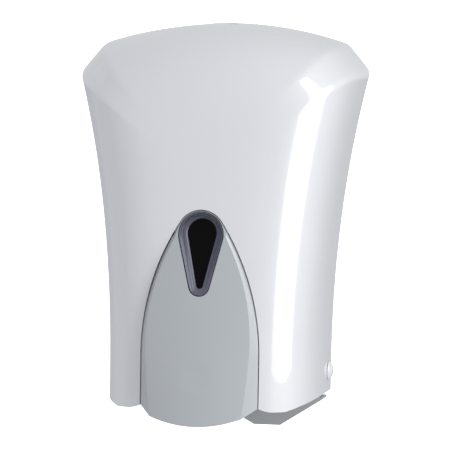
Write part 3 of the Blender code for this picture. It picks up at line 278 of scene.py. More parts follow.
# %% [markdown]
# ## The lever's arch
# The lever fills a pointed arch in the cover. Its sides are two arcs that lean in, and a small
# round cap ends it. The cover's skin and the lever's skin both follow this one curve, so the
# gap between them stays even.

# %% The arch curve
ARCH_HALF = 37.5 * MM
ARCH_SPRING_Z = FOOT_Z + 34.3 * MM
ARCH_RADIUS = 154.6 * MM
ARCH_CAP_Z = FOOT_Z + 117.8 * MM
cap_rise = ARCH_CAP_Z - ARCH_SPRING_Z
cap_run = math.sqrt(ARCH_RADIUS ** 2 - cap_rise ** 2)
cap_half = ARCH_HALF - ARCH_RADIUS + cap_run
CAP_CENTRE_Z = ARCH_CAP_Z - cap_half * cap_rise / cap_run
CAP_RADIUS = math.hypot(cap_half, cap_half * cap_rise / cap_run)


def arch_half(z, shrink=0.0):
    """Half the arch's width at a height, inside it by shrink."""
    if z >= ARCH_CAP_Z:
        return math.sqrt(max((CAP_RADIUS - shrink) ** 2 - (z - CAP_CENTRE_Z) ** 2, 0.0))
    rise = max(0.0, z - ARCH_SPRING_Z)
    return ARCH_HALF - ARCH_RADIUS + math.sqrt(ARCH_RADIUS ** 2 - rise ** 2) - shrink


def arch_rows(foot, shrink=0.0, step=1.5 * MM, cap_steps=22):
    """Heights up the arch, closer together where the cap turns over."""
    radius = CAP_RADIUS - shrink
    count = round((ARCH_CAP_Z - foot) / step)
    rows = [foot + (ARCH_CAP_Z - foot) * i / count for i in range(count)]
    start = math.asin((ARCH_CAP_Z - CAP_CENTRE_Z) / radius)
    for i in range(cap_steps + 1):
        rows.append(CAP_CENTRE_Z + radius * math.sin(start + (math.pi / 2 - start) * i / cap_steps))
    return rows


print("arch: %.1f mm tall, cap radius %.1f mm" % (
    1000 * (CAP_CENTRE_Z + CAP_RADIUS - FOOT_Z), 1000 * CAP_RADIUS))

# %% [markdown]
# ## The cover's bulged skin
# The front is nearly flat and rolls into the side walls. Each outline point is pulled towards
# the middle line while it comes forward along a rounded-box curve, so the whole face stays one
# smooth surface, like the real moulding. Rows of the net stop exactly at the arch, which gives
# a clean opening with no cutting.

# %% The curve from the back rim to the front
SPINE_CAP_Z = TOP_Z - 91.5 * MM
SPINE_BLEND = 20 * MM
SIDE_POWER = 5.16
FRONT_POWER = 4.13
CORNER_SHARE = 0.64
SHARE_SAMPLES = 3000
SPACING_HALF = 80 * MM
SPACING_LENGTH = 0.13
SPACING_TURN = 1.3


def spine_z(z):
    """Height on the middle line that a row of the net runs to."""
    if z <= SPINE_CAP_Z - SPINE_BLEND:
        return z
    if z >= SPINE_CAP_Z + SPINE_BLEND:
        return SPINE_CAP_Z
    return z - (z - SPINE_CAP_Z + SPINE_BLEND) ** 2 / (4 * SPINE_BLEND)


def forward(share):
    """Depth of the skin, as a share, at a share of the way out from the middle line."""
    return max(0.0, 1 - share ** SIDE_POWER) ** (1 / FRONT_POWER)


def corner_shares(count):
    """Shares from the rim to the start of the flat front, closest together where it turns."""
    fine = [1 - (1 - CORNER_SHARE) * (i / SHARE_SAMPLES) ** 3 for i in range(SHARE_SAMPLES + 1)]
    path = [(SPACING_HALF * s, COVER_DEPTH * forward(s)) for s in fine]
    travel = [0.0]
    for k in range(1, len(path) - 1):
        ahead = math.atan2(path[k + 1][1] - path[k][1], path[k + 1][0] - path[k][0])
        behind = math.atan2(path[k][1] - path[k - 1][1], path[k][0] - path[k - 1][0])
        travel.append(travel[-1] + math.dist(path[k], path[k - 1]) / SPACING_LENGTH
                      + SPACING_TURN * abs(ahead - behind))
    picked = []
    for i in range(count):
        goal = travel[-1] * i / (count - 1)
        picked.append(next((fine[k] for k, t in enumerate(travel) if t >= goal), CORNER_SHARE))
    return picked


CORNER_COLUMNS = corner_shares(46)
FRONT_COLUMNS = 24
print("shares across the corner: %.3f to %.3f" % (CORNER_COLUMNS[0], CORNER_COLUMNS[-1]))

# %% The cover's foot: its lower corners are cut and its edge rises beside the lever
FOOT_CUT_X = 53.2 * MM
FOOT_CUT_SLOPE = 4.5 / 13
FOOT_RISE = 2.1 * MM
FOOT_RISE_RUN = 9 * MM
FOOT_ZONE = 16 * MM


def foot_lift(x, z):
    """How far a skin point near the foot moves up."""
    cut = max(0.0, abs(x) - FOOT_CUT_X) * FOOT_CUT_SLOPE
    beside = max(0.0, 1 - max(0.0, abs(x) - ARCH_HALF) / FOOT_RISE_RUN)
    fade = max(0.0, 1 - (z - FOOT_Z) / FOOT_ZONE)
    return (cut + FOOT_RISE * beside * beside) * fade


# %% Build the skin, its wall and the lock's hole
def skin_row(rim, inner_share, side):
    """One row of the net, from the back rim to its inner end."""
    shares = list(CORNER_COLUMNS)
    last = shares[-1]
    shares += [last + (inner_share - last) * i / FRONT_COLUMNS for i in range(1, FRONT_COLUMNS + 1)]
    middle = spine_z(rim[1])
    row = []
    for share in shares:
        x, z = rim[0] * share, middle + (rim[1] - middle) * share
        row.append((side * x, RIM_Y - COVER_DEPTH * forward(share), z + foot_lift(x, z)))
    return row


skin = bmesh.new()
lower_rows = arch_rows(FOOT_Z)
for side in (-1, 1):
    rows = [skin_row((side_half(z), z), arch_half(z) / side_half(z), side) for z in lower_rows]
    rows += [skin_row(rim, 0.0, side) for rim in upper_outline]
    add_net(skin, rows)
cover_skin = new_piece("cover_skin", skin, "cover", smooth_angle=60)
thicken(cover_skin, COVER_WALL)


def cut_round_hole(piece, centre, axis, radius, length):
    """Drill one round hole through a piece."""
    turn = Vector((0, 0, 1)).rotation_difference(Vector(axis)).to_matrix().to_4x4()
    drill_mesh = bmesh.new()
    bmesh.ops.create_cone(drill_mesh, cap_ends=True, segments=64, radius1=radius, radius2=radius,
                          depth=length, matrix=Matrix.Translation(centre) @ turn)
    drill = new_piece("drill", drill_mesh, "cover")
    modifier = piece.modifiers.new("hole", "BOOLEAN")
    modifier.object = drill
    modifier.solver = "EXACT"
    keep_shape(piece)
    bpy.data.objects.remove(drill)


LOCK_CLEARANCE = 0.25 * MM
LOCK_DRILL_LENGTH = 30 * MM
lock_low, lock_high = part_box("lock_barrel")
lock_centre = (lock_low + lock_high) / 2
lock_radius = (lock_high[0] - lock_low[0]) / 2
cut_round_hole(cover_skin, (lock_centre[0], lock_centre[1], TOP_Z), (0, 0, 1),
               lock_radius + LOCK_CLEARANCE, LOCK_DRILL_LENGTH)
soften(cover_skin, 0.5 * MM, angle=50)
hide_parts("front_cover")
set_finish(cover_skin, "gloss_white")
print("cover skin:", len(cover_skin.data.vertices), "vertices")

# %% [markdown]
# ## The window frame's outline
# The window is a teardrop: a large arc at the top, a small one at the foot, and the two lines
# that touch both. The same family of outlines, from the frame's rim (share 0) to the window
# (share 1), shapes the frame, the opening in the lever and the lens.

# %% The teardrop family
RIM_TOP = (FOOT_Z + 109.6 * MM, 14.6 * MM)
RIM_FOOT = (FOOT_Z + 78.3 * MM, 7.1 * MM)
WINDOW_TOP = (FOOT_Z + 110 * MM, 9.1 * MM)
WINDOW_FOOT = (FOOT_Z + 78.3 * MM, 2.2 * MM)
RIM_INSET = 0.9 * MM
OPENING_INSET = 0.25 * MM


def mixed(a, b, share):
    """The value a share of the way from a to b."""
    return a + (b - a) * share


def teardrop_arcs(share, grow=0.0):
    """Centre heights, radii and lean of one outline."""
    top_z, top_r = (mixed(a, b, share) for a, b in zip(RIM_TOP, WINDOW_TOP))
    foot_z, foot_r = (mixed(a, b, share) for a, b in zip(RIM_FOOT, WINDOW_FOOT))
    lean = math.asin((top_r - foot_r) / (top_z - foot_z))
    return top_z, top_r + grow, foot_z, foot_r + grow, lean


def between(start, end, steps):
    """The inner points of a straight line cut into equal steps."""
    return [(mixed(start[0], end[0], i / steps), mixed(start[1], end[1], i / steps))
            for i in range(1, steps)]


def teardrop(share, grow=0.0, steps=56, side_steps=14):
    """Points round one outline, starting on the right, over the top."""
    top_z, top_r, foot_z, foot_r, lean = teardrop_arcs(share, grow)
    points = []
    for i in range(steps + 1):
        angle = -lean + (math.pi + 2 * lean) * i / steps
        points.append((top_r * math.cos(angle), top_z + top_r * math.sin(angle)))
    foot_steps = steps // 2
    foot = []
    for i in range(foot_steps + 1):
        angle = math.pi + lean + (math.pi - 2 * lean) * i / foot_steps
        foot.append((foot_r * math.cos(angle), foot_z + foot_r * math.sin(angle)))
    return points + between(points[-1], foot[0], side_steps) + foot + between(foot[-1], points[0], side_steps)


def teardrop_half(z, share, grow=0.0):
    """Half the outline's width at a height, and 0 outside it."""
    top_z, top_r, foot_z, foot_r, lean = teardrop_arcs(share, grow)
    if z >= top_z - top_r * math.sin(lean):
        return math.sqrt(max(top_r ** 2 - (z - top_z) ** 2, 0.0))
    if z <= foot_z - foot_r * math.sin(lean):
        return math.sqrt(max(foot_r ** 2 - (z - foot_z) ** 2, 0.0))
    return (foot_r + (z - foot_z) * math.sin(lean)) / math.cos(lean)


# %% [markdown]
# ## The push lever
# The lever stands proud at its foot, where a palm presses it, and sinks flush at its top. A
# crease runs up each side with a narrow facet beside it, and a shallow round dimple marks
# where to press. One net carries all of this: its rows run across, and its columns follow the
# crease, the facet and the return that reaches back into the cover.

# %% Sizes of the lever
LEVER_GAP = 0.7 * MM
LEVER_ROW_STEP = 0.9 * MM
OPENING_ROWS = 12
LEVER_WALL = 2.4 * MM
LEVER_RISE = 11 * MM
LEVER_CROWN = 4 * MM
LEVER_FADE_Z = FOOT_Z + 119.3 * MM
LIP_DROP = 8.6 * MM
LIP_ZONE = 80 * MM
FACET_TOP = 2.4 * MM
FACET_FOOT = 8 * MM
RETURN_DEPTH = 9 * MM
DIMPLE_Z = FOOT_Z + 25.2 * MM
DIMPLE_RADIUS = 11.3 * MM
DIMPLE_DEPTH = 0.3 * MM
DIMPLE_RIM_SHARE = 0.8
OPENING_WALL = 2.2 * MM
OPENING_MAX_SHARE = 0.985
CREASE_MIN_SHARE = 0.45
LIP_CURVE = 0.62
BASE_SETBACK = 1.2 * MM
BASE_DROP_SHARE = 0.25


def fade(z):
    """1 at the cover's foot and 0 where the lever is flush."""
    return max(0.0, 1 - (z - FOOT_Z) / (LEVER_FADE_Z - FOOT_Z))


def face_y(z, across):
    """Front of the lever; across is 0 in the middle and 1 at the crease."""
    return FRONT_Y - (LEVER_RISE + LEVER_CROWN * (1 - across ** 2)) * fade(z)


def dimple(x, z):
    """Depth of the press mark, a flat dish with a soft rim."""
    near = (1 - math.hypot(x, z - DIMPLE_Z) / DIMPLE_RADIUS) / DIMPLE_RIM_SHARE
    t = min(1.0, max(0.0, near))
    return DIMPLE_DEPTH * t * t * (3 - 2 * t)


def lip_fade(z):
    """1 at the lever's foot and 0 above the zone that the lip bends."""
    return max(0.0, 1 - (z - FOOT_Z) / LIP_ZONE) ** 2


def lip_shift(across, z):
    """The foot of the face hangs in a curve; the shift fades away upwards."""
    return LIP_DROP * (-1 + LIP_CURVE * across ** 2) * lip_fade(z)


# %% Build the lever's net
FACE_COLUMNS = 44
FACET_COLUMNS = 4
RETURN_COLUMNS = 4


def lever_row(z, side):
    """One row, from the middle or the window's opening out to the return's back edge."""
    outer = arch_half(z, LEVER_GAP)
    inner = min(teardrop_half(z, 0.0, -OPENING_INSET), outer * OPENING_MAX_SHARE)
    width = FACET_TOP + (FACET_FOOT - FACET_TOP) * fade(z) ** 3
    crease = max(outer - width, inner + CREASE_MIN_SHARE * (outer - inner))
    row = []
    for i in range(FACE_COLUMNS + 1):
        x = mixed(inner, crease, i / FACE_COLUMNS)
        across = x / max(crease, 1e-9)
        row.append((side * x, face_y(z, across) + dimple(x, z), z + lip_shift(across, z)))
    base_y = FRONT_Y + BASE_SETBACK
    base_z = z + BASE_DROP_SHARE * LIP_DROP * lip_fade(z)
    for i in range(1, FACET_COLUMNS + 1):
        t = i / FACET_COLUMNS
        row.append((side * mixed(crease, outer, t), mixed(row[FACE_COLUMNS][1], base_y, t),
                    mixed(row[FACE_COLUMNS][2], base_z, t)))
    for i in range(1, RETURN_COLUMNS + 1):
        t = i / RETURN_COLUMNS
        row.append((side * outer, mixed(base_y, FRONT_Y + RETURN_DEPTH, t), base_z))
    return row


opening_foot = RIM_FOOT[0] - (RIM_FOOT[1] - OPENING_INSET)
near_opening = [opening_foot + RIM_FOOT[1] * (1 - math.cos(math.pi / 2 * i / OPENING_ROWS))
                for i in range(OPENING_ROWS + 1)]
lever_rows = sorted(set([z for z in arch_rows(FOOT_Z, LEVER_GAP, step=LEVER_ROW_STEP)
                         if not near_opening[0] < z < near_opening[-1]] + near_opening))
lever_net = bmesh.new()
for side in (-1, 1):
    net = add_net(lever_net, [lever_row(z, side) for z in lever_rows])
    edge = [row[0].co.copy() for row, z in zip(net, lever_rows)
            if opening_foot <= z <= RIM_TOP[0] + RIM_TOP[1] - OPENING_INSET]
    add_net(lever_net, [edge, [point + Vector((0, OPENING_WALL, 0)) for point in edge]])
lever_skin = new_piece("lever_skin", lever_net, "lever", smooth_angle=60)
thicken(lever_skin, LEVER_WALL)
soften(lever_skin, 0.45 * MM, angle=24)
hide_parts("push_lever")
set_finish(lever_skin, "satin_silver")
print("lever skin:", len(lever_skin.data.vertices), "vertices in", len(lever_rows), "rows")

# %% [markdown]
# ## The window frame and lens
# The frame sinks in steps from the lever's face to the dark window, deeper at the top than at
# the foot. It is a small gloss moulding, so each step is a ring of the teardrop family at its
# own depth, and the bevel gives the steps their bright lines.

# %% Build the frame and the lens
FRAME_DEPTH = 5 * MM
FRAME_FOOT_SHARE = 0.4
FRAME_TOP_Z = FOOT_Z + 117 * MM


def frame_plane(z):
    """The lever's middle line, carried on straight."""
    return FRONT_Y - (LEVER_RISE + LEVER_CROWN) * (1 - (z - FOOT_Z) / (LEVER_FADE_Z - FOOT_Z))


def frame_depth(z):
    """How deep the window lies behind the rim, more at the top than at the foot."""
    rise = (z - WINDOW_FOOT[0]) / (FRAME_TOP_Z - WINDOW_FOOT[0])
    return FRAME_DEPTH * mixed(FRAME_FOOT_SHARE, 1, rise)


def frame_ring(share, depth_share, behind, grow=0.0):
    """One ring of the frame: a share of the window's depth plus a distance behind the rim."""
    return [(x, frame_plane(z) + depth_share * frame_depth(z) + behind, z)
            for x, z in teardrop(share, grow)]


LENS_SEAT = 0.8 * MM
LENS_SHARE = 0.84
LENS_WALL = 1.4 * MM
LENS_GAP = 0.3 * MM
RIM_PROUD = 0.1 * MM
RIM_BACK = 2.6 * MM
SEAT_BACK = 2.5 * MM
MIDDLE_BACK = 1.6 * MM
# Each step is a share of the way in, a share of the window's depth and a distance behind.
rim_steps = [(0.0, 0.0, RIM_BACK), (0.0, 0.0, -RIM_PROUD), (0.06, 0.0, -RIM_PROUD)]
face_steps = [(0.34, 0.34, 0.0), (0.42, 0.34, 0.0), (0.46, 0.44, 0.0), (0.68, 0.72, 0.0),
              (0.76, 0.72, 0.0), (0.79, 0.8, 0.0), (1.0, 1.0, 0.0)]
seat_steps = [(1.0, 1.0, LENS_SEAT), (LENS_SHARE, 1.0, LENS_SEAT), (LENS_SHARE, 1.0, SEAT_BACK)]
back_steps = [(0.74, 1.0, SEAT_BACK), (0.56, 0.5, MIDDLE_BACK), (0.46, 0.0, RIM_BACK)]
frame_steps = rim_steps + face_steps + seat_steps + back_steps
frame_net = bmesh.new()
rings = [frame_ring(*step, grow=-RIM_INSET * (1 - step[0])) for step in frame_steps]
add_net(frame_net, rings + rings[:1], closed=True)
window_frame = new_piece("window_frame", frame_net, "lever", smooth_angle=30)
soften(window_frame, 0.18 * MM, angle=20)
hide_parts("window_bezel")
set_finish(window_frame, "slate_bezel")

lens_net = bmesh.new()
lens_front = LENS_SEAT + LENS_GAP
loops = add_net(lens_net, [frame_ring(LENS_SHARE, 1.0, behind, grow=-LENS_GAP)
                           for behind in (lens_front, lens_front + LENS_WALL)], closed=True)
lens_net.faces.new(loops[0])
lens_net.faces.new(list(reversed(loops[1])))
window_glass = new_piece("window_glass", lens_net, "lever", smooth_angle=30)
soften(window_glass, 0.2 * MM)
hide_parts("window_lens")
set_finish(window_glass, "smoked_lens")
print("window: %.1f mm wide, %.1f mm tall" % (
    2000 * WINDOW_TOP[1], 1000 * (WINDOW_TOP[0] + WINDOW_TOP[1] - WINDOW_FOOT[0] + WINDOW_FOOT[1])))

# %% [markdown]
# ## Small working parts on the skins
# The hinge caps are low domes on the cover's side walls, turned on a lathe in the mould shop.
# The spout is a bent tube. Behind the lever a rib carries the nose that pushes the pump, and
# both skins have small eyes for the lever's pins. Each is built from its own section.

# %% Turned and bent parts
def turned(name, profile, base, axis, body, segments=64):
    """Spin a profile of (radius, height) points about an axis through base."""
    turn = Vector((0, 0, 1)).rotation_difference(Vector(axis)).to_matrix().to_4x4()
    mesh_data = bmesh.new()
    steps = [math.tau * i / segments for i in range(segments)]
    add_net(mesh_data, [[(r * math.cos(a), r * math.sin(a), h) for a in steps] for r, h in profile],
            closed=True)
    mesh_data.transform(Matrix.Translation(base) @ turn)
    return new_piece(name, mesh_data, body, smooth_angle=40)


DOME_RISE = 2.9 * MM
DOME_STEPS = 14
DOME_LIP = 0.1 * MM
SHANK_RADIUS = 2.9 * MM
TIP_RADIUS = 1e-7        # a turned profile ends just off its axis, and the weld then closes it


def dome_profile(low, high):
    """Profile of a hinge cap from its node's box, as (radius, distance from the middle)."""
    radius = (high[2] - low[2]) / 2
    outer = max(abs(low[0]), abs(high[0]))
    inner = min(abs(low[0]), abs(high[0]))
    rim = outer - DOME_RISE
    sphere = (radius ** 2 + DOME_RISE ** 2) / (2 * DOME_RISE)
    limit = math.asin(radius / sphere)
    angles = [limit * (1 - i / DOME_STEPS) for i in range(DOME_STEPS + 1)]
    dome = [(max(sphere * math.sin(a), TIP_RADIUS), outer - sphere + sphere * math.cos(a)) for a in angles]
    return [(TIP_RADIUS, inner), (SHANK_RADIUS, inner), (SHANK_RADIUS, rim), (radius, rim - DOME_LIP)] + dome


for label, direction in (("left", -1), ("right", 1)):
    node = "hinge_cap_" + label
    low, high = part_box(node)
    centre = (low + high) / 2
    cap = turned("hinge_dome_" + label, dome_profile(low, high), (0, centre[1], centre[2]),
                 (direction, 0, 0), "cover")
    soften(cap, 0.3 * MM, angle=30)
    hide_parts(node)
    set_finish(cap, "gloss_white")

spout_low, spout_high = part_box("spout")
PORT_Y = -41 * MM
TIP_Y = -68 * MM
RUN_Z = 4.7 * MM
BEND = 5 * MM
SPOUT_RADIUS = 4.5 * MM
SPOUT_BORE_RADIUS = 2.6 * MM
bend_angles = [math.pi / 2 * i / 10 for i in range(11)]
spout_line = [(PORT_Y, spout_high[2])]
spout_line += [(PORT_Y - BEND * (1 - math.cos(a)), RUN_Z + BEND * (1 - math.sin(a))) for a in bend_angles]
spout_line += [(TIP_Y + BEND * (1 - math.sin(a)), RUN_Z - BEND * (1 - math.cos(a))) for a in bend_angles]
spout_line.append((TIP_Y, spout_low[2]))


def pipe_rings(line, radius, segments=40):
    """Rings square to a line in the y-z plane."""
    rings = []
    for k, (y, z) in enumerate(line):
        before, after = line[max(k - 1, 0)], line[min(k + 1, len(line) - 1)]
        along = Vector((0, after[0] - before[0], after[1] - before[1])).normalized()
        across = along.cross(Vector((1, 0, 0)))
        rings.append([Vector((radius * math.cos(a), y, z)) + radius * math.sin(a) * across
                      for a in [math.tau * i / segments for i in range(segments)]])
    return rings


spout_net = bmesh.new()
outside, inside = pipe_rings(spout_line, SPOUT_RADIUS), pipe_rings(spout_line, SPOUT_BORE_RADIUS)
add_net(spout_net, outside + list(reversed(inside)) + outside[:1], closed=True)
spout_tube = new_piece("spout_tube", spout_net, "root", smooth_angle=50)
soften(spout_tube, 0.4 * MM, angle=50)
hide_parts("spout")
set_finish(spout_tube, "natural_acetal")
print("spout line:", len(spout_line), "points")

# %% Rib, nose and pin eyes behind the skins
def extruded(name, outline, low_x, high_x, body):
    """A closed y-z outline carried along x."""
    mesh_data = bmesh.new()
    loops = add_net(mesh_data, [[(x, y, z) for y, z in outline] for x in (low_x, high_x)], closed=True)
    mesh_data.faces.new(loops[0])
    mesh_data.faces.new(list(reversed(loops[1])))
    return new_piece(name, mesh_data, body)


PUSH_Z = FOOT_Z + 31 * MM
RIB_HALF_HEIGHT = 4 * MM
RIB_HALF_WIDTH = 3 * MM
NOSE_HALF_WIDTH = 7 * MM
PUSH_HEAD_Y = -92 * MM
NOSE_GAP = 0.3 * MM
NOSE_Y = PUSH_HEAD_Y - NOSE_GAP - RIB_HALF_HEIGHT
SKIN_OVERLAP = 0.4 * MM
back_face = face_y(PUSH_Z, 0) + LEVER_WALL - SKIN_OVERLAP


def nose_point(angle):
    """A point of the nose's round section."""
    return (NOSE_Y + RIB_HALF_HEIGHT * math.cos(angle), PUSH_Z + RIB_HALF_HEIGHT * math.sin(angle))


nose_arc = [nose_point(math.pi * (i / 16 - 0.5)) for i in range(17)]
rib_outline = [(back_face, PUSH_Z - RIB_HALF_HEIGHT)] + nose_arc + [(back_face, PUSH_Z + RIB_HALF_HEIGHT)]
nose_outline = [nose_point(math.tau * i / 32) for i in range(32)]
lever_parts = [extruded("lever_rib", rib_outline, -RIB_HALF_WIDTH, RIB_HALF_WIDTH, "lever"),
               extruded("lever_nose", nose_outline, -NOSE_HALF_WIDTH, NOSE_HALF_WIDTH, "lever")]

# %% One eye on the lever and one on the cover at each end of the pins
pin_low, pin_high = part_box("lever_pin_right")
pin_y, pin_z = (pin_low[1] + pin_high[1]) / 2, (pin_low[2] + pin_high[2]) / 2
EYE_HALF = 5.2 * MM
EYE_WIDTH = 3.4 * MM
EYE_END_GAP = 0.1 * MM
LEVER_EYE_SETBACK = 4.4 * MM
COVER_EYE_SETBACK = 2.2 * MM
COVER_EYE_HALF = 1.5 * EYE_HALF


def pin_eye(name, setback, half_height, span, direction, body):
    """A block round a pin's end, from behind the skin to past the pin; span is its reach in x."""
    front, back = FRONT_Y + setback, pin_y + EYE_HALF
    outline = [(front, pin_z - half_height), (back, pin_z - half_height),
               (back, pin_z + half_height), (front, pin_z + half_height)]
    return extruded(name, outline, *sorted(direction * x for x in span), body)


cover_parts = []
for label, direction in (("left", -1), ("right", 1)):
    lever_parts.append(pin_eye("lever_eye_" + label, LEVER_EYE_SETBACK, EYE_HALF,
                               (pin_low[0], pin_low[0] + EYE_WIDTH), direction, "lever"))
    cover_parts.append(pin_eye("cover_eye_" + label, COVER_EYE_SETBACK, COVER_EYE_HALF,
                               (pin_high[0] - EYE_WIDTH, pin_high[0] - EYE_END_GAP), direction, "cover"))
for piece in lever_parts + cover_parts:
    soften(piece, 0.4 * MM)
    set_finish(piece, "satin_silver" if piece in lever_parts else "gloss_white")

# %% [markdown]
# ## Finishes
# Most parts are moulded plastic. A moulded face is never perfect: it has a fine ripple from
# the mould, a slow drift in gloss where the melt cooled unevenly, and a faint drift in tone.
# One recipe holds these three, each with its own size in millimetres, and each plastic then
# sets its colour, gloss and scale. All patterns are procedural and use object coordinates, so
# their sizes are real.

# %% The recipe for moulded plastic
NOISE_SPAN = {"From Min": 0.3, "From Max": 0.7}      # where most of a noise pattern's values lie


def moulded(name, colour, roughness, ripple_mm, ripple_height, drift_mm=45, gloss_drift=0.04,
            tone_drift=0.02, **shader_values):
    """A moulded plastic: ripple in the surface, drift in gloss and drift in tone."""
    finish = bpy.data.materials.new(name)
    finish.use_nodes = True
    tree = finish.node_tree
    shader = tree.nodes["Principled BSDF"]
    for key, value in shader_values.items():
        shader.inputs[key.replace("_", " ")].default_value = value
    place = add_node(tree, "ShaderNodeTexCoord").outputs["Object"]
    ripple = add_node(tree, "ShaderNodeTexNoise",
                      {"Scale": 1 / (ripple_mm * MM), "Detail": 3.0, "Roughness": 0.55}, {"Vector": place})
    add_node(tree, "ShaderNodeBump", {"Strength": 1.0, "Distance": ripple_height * MM},
             {"Height": ripple.outputs[0]}, out=("Normal", shader.inputs["Normal"]))
    drift = add_node(tree, "ShaderNodeTexNoise", {"Scale": 1 / (drift_mm * MM), "Detail": 2.0},
                     {"Vector": place})
    add_node(tree, "ShaderNodeMapRange",
             {**NOISE_SPAN, "To Min": roughness - gloss_drift, "To Max": roughness + gloss_drift},
             {"Value": drift.outputs[0]}, out=("Result", shader.inputs["Roughness"]))
    tone = add_node(tree, "ShaderNodeMapRange",
                    {**NOISE_SPAN, "To Min": 1 - tone_drift, "To Max": 1 + tone_drift},
                    {"Value": drift.outputs[0]})
    add_node(tree, "ShaderNodeHueSaturation", {"Color": linear(colour)}, {"Value": tone.outputs["Result"]},
             out=("Color", shader.inputs["Base Color"]))
    return finish


# %% [markdown]
# The cover is white ABS from a polished mould. Its body scatters light softly, and a smooth
# clear coat over it gives the sharp, strong reflection that the eye reads as high gloss.
# The lever is ABS with aluminium flake in it, moulded against a satin mould, which is why it
# reads as soft silver. The frame is a dark slate ABS with a semi-gloss face.

# %% Skins: white ABS, silver ABS, slate ABS, smoked window darkened with painted shade
white_abs = moulded("polished_white_abs", "#e6e7e9", 0.32, 3.5, 0.0012, gloss_drift=0.03, tone_drift=0.006,
                    Specular_IOR_Level=0.5, Coat_Weight=1.0, Coat_Roughness=0.015, Coat_IOR=1.7)
silver_abs = moulded("satin_silver_abs", "#bfc3c5", 0.36, 0.35, 0.006, gloss_drift=0.03, tone_drift=0.012,
                     Metallic=0.25, Coat_Weight=0.12, Coat_Roughness=0.3)
slate_abs = moulded("semi_gloss_slate_abs", "#5d5f6e", 0.22, 0.8, 0.003, gloss_drift=0.04, tone_drift=0.03,
                    Coat_Weight=0.2, Coat_Roughness=0.12)
# The window is an opaque near-black sheet: part of its darkness is the smoked tint, and part is painted shade
# standing in for the dark space behind the window.
smoked_acrylic_with_painted_shade = moulded("smoked_acrylic_with_painted_shade", "#050506", 0.05, 6.0, 0.001, gloss_drift=0.01, tone_drift=0.02,
                         Specular_IOR_Level=0.08)

# %% [markdown]
# Behind the cover the parts are plainer. The chassis is grey ABS with a spark-eroded texture.
# The tank is blown polythene, which lets light in and scatters it. Acetal parts slide on one
# another and have a dull wax look, and the seals are black nitrile rubber.

# %% Inner plastics and rubber
chassis_abs = moulded("spark_textured_grey_abs", "#b3b6b8", 0.48, 0.45, 0.02, gloss_drift=0.05,
                      tone_drift=0.03)
tank_polythene = moulded("blown_polythene", "#eceff0", 0.38, 2.2, 0.01, gloss_drift=0.06, tone_drift=0.015,
                         Transmission_Weight=0.45, IOR=1.5, Subsurface_Weight=0.35, Subsurface_Scale=0.004)
natural_acetal = moulded("natural_acetal", "#e9e5d8", 0.36, 0.9, 0.006, gloss_drift=0.05, tone_drift=0.015,
                         Subsurface_Weight=0.15, Subsurface_Scale=0.002)
black_acetal = moulded("black_acetal", "#1c1c1e", 0.4, 0.7, 0.008, gloss_drift=0.06, tone_drift=0.08)
nitrile_rubber = moulded("nitrile_rubber", "#161617", 0.72, 0.3, 0.012, gloss_drift=0.08, tone_drift=0.1,
                         Sheen_Weight=0.25, Sheen_Roughness=0.4)

# %% [markdown]
# Screws, pins, valve balls, the spring and the lock are zinc-plated steel. Plating leaves a fine crystal
# mottle of about half a millimetre, and wear from tools rubs it brighter in places.

# %% Zinc-plated steel
CRYSTAL_SIZE = 0.5 * MM
RUB_SIZE = 3 * MM
zinc_steel = bpy.data.materials.new("zinc_plated_steel")
zinc_steel.use_nodes = True
steel_tree = zinc_steel.node_tree
steel_shader = steel_tree.nodes["Principled BSDF"]
steel_shader.inputs["Metallic"].default_value = 1.0
steel_shader.inputs["Anisotropic"].default_value = 0.3
steel_place = add_node(steel_tree, "ShaderNodeTexCoord").outputs["Object"]
crystals = add_node(steel_tree, "ShaderNodeTexVoronoi", {"Scale": 1 / CRYSTAL_SIZE}, {"Vector": steel_place})
rubbed = add_node(steel_tree, "ShaderNodeTexNoise", {"Scale": 1 / RUB_SIZE, "Detail": 4.0},
                  {"Vector": steel_place})
crystal_tone = add_node(steel_tree, "ShaderNodeMapRange", {"To Min": 0.88, "To Max": 1.06},
                        {"Value": crystals.outputs["Distance"]})
add_node(steel_tree, "ShaderNodeHueSaturation", {"Color": linear("#c9ccd0")},
         {"Value": crystal_tone.outputs["Result"]}, out=("Color", steel_shader.inputs["Base Color"]))
add_node(steel_tree, "ShaderNodeMapRange",
         {"From Min": 0.35, "From Max": 0.65, "To Min": 0.22, "To Max": 0.42},
         {"Value": rubbed.outputs[0]}, out=("Result", steel_shader.inputs["Roughness"]))
add_node(steel_tree, "ShaderNodeBump", {"Strength": 1.0, "Distance": 0.01 * MM},
         {"Height": crystals.outputs["Distance"]}, out=("Normal", steel_shader.inputs["Normal"]))

# %% Give every piece its finish
SLOT_FINISH = {
    "gloss_white": white_abs, "satin_silver": silver_abs, "slate_bezel": slate_abs,
    "smoked_lens": smoked_acrylic_with_painted_shade, "chassis_grey": chassis_abs, "tank_polythene": tank_polythene,
    "natural_acetal": natural_acetal, "black_acetal": black_acetal, "nitrile_rubber": nitrile_rubber,
    "zinc_steel": zinc_steel,
}
node_slots = {part["node"]: part["material_slot"] for part in frame["record"]["subparts"]}


def paint(item, finish):
    """Give an object one finish and nothing else."""
    item.data.materials.clear()
    item.data.materials.append(finish)


for name, node in frame["nodes"].items():
    paint(node, SLOT_FINISH[node_slots[name]])
    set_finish(node, node_slots[name])
for item in bpy.context.scene.objects:
    if item.type == "MESH" and "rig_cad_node" not in item:
        paint(item, SLOT_FINISH[item["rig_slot"]])
print("finishes given to", len(frame["nodes"]), "nodes and the new pieces")

# %% [markdown]
# The nodes that are carried over keep their shape. Their corners are split where the design
# has sharp edges, so a weld joins them first, and a narrow bevel then gives each edge the
# small radius that every moulded or stamped edge has.

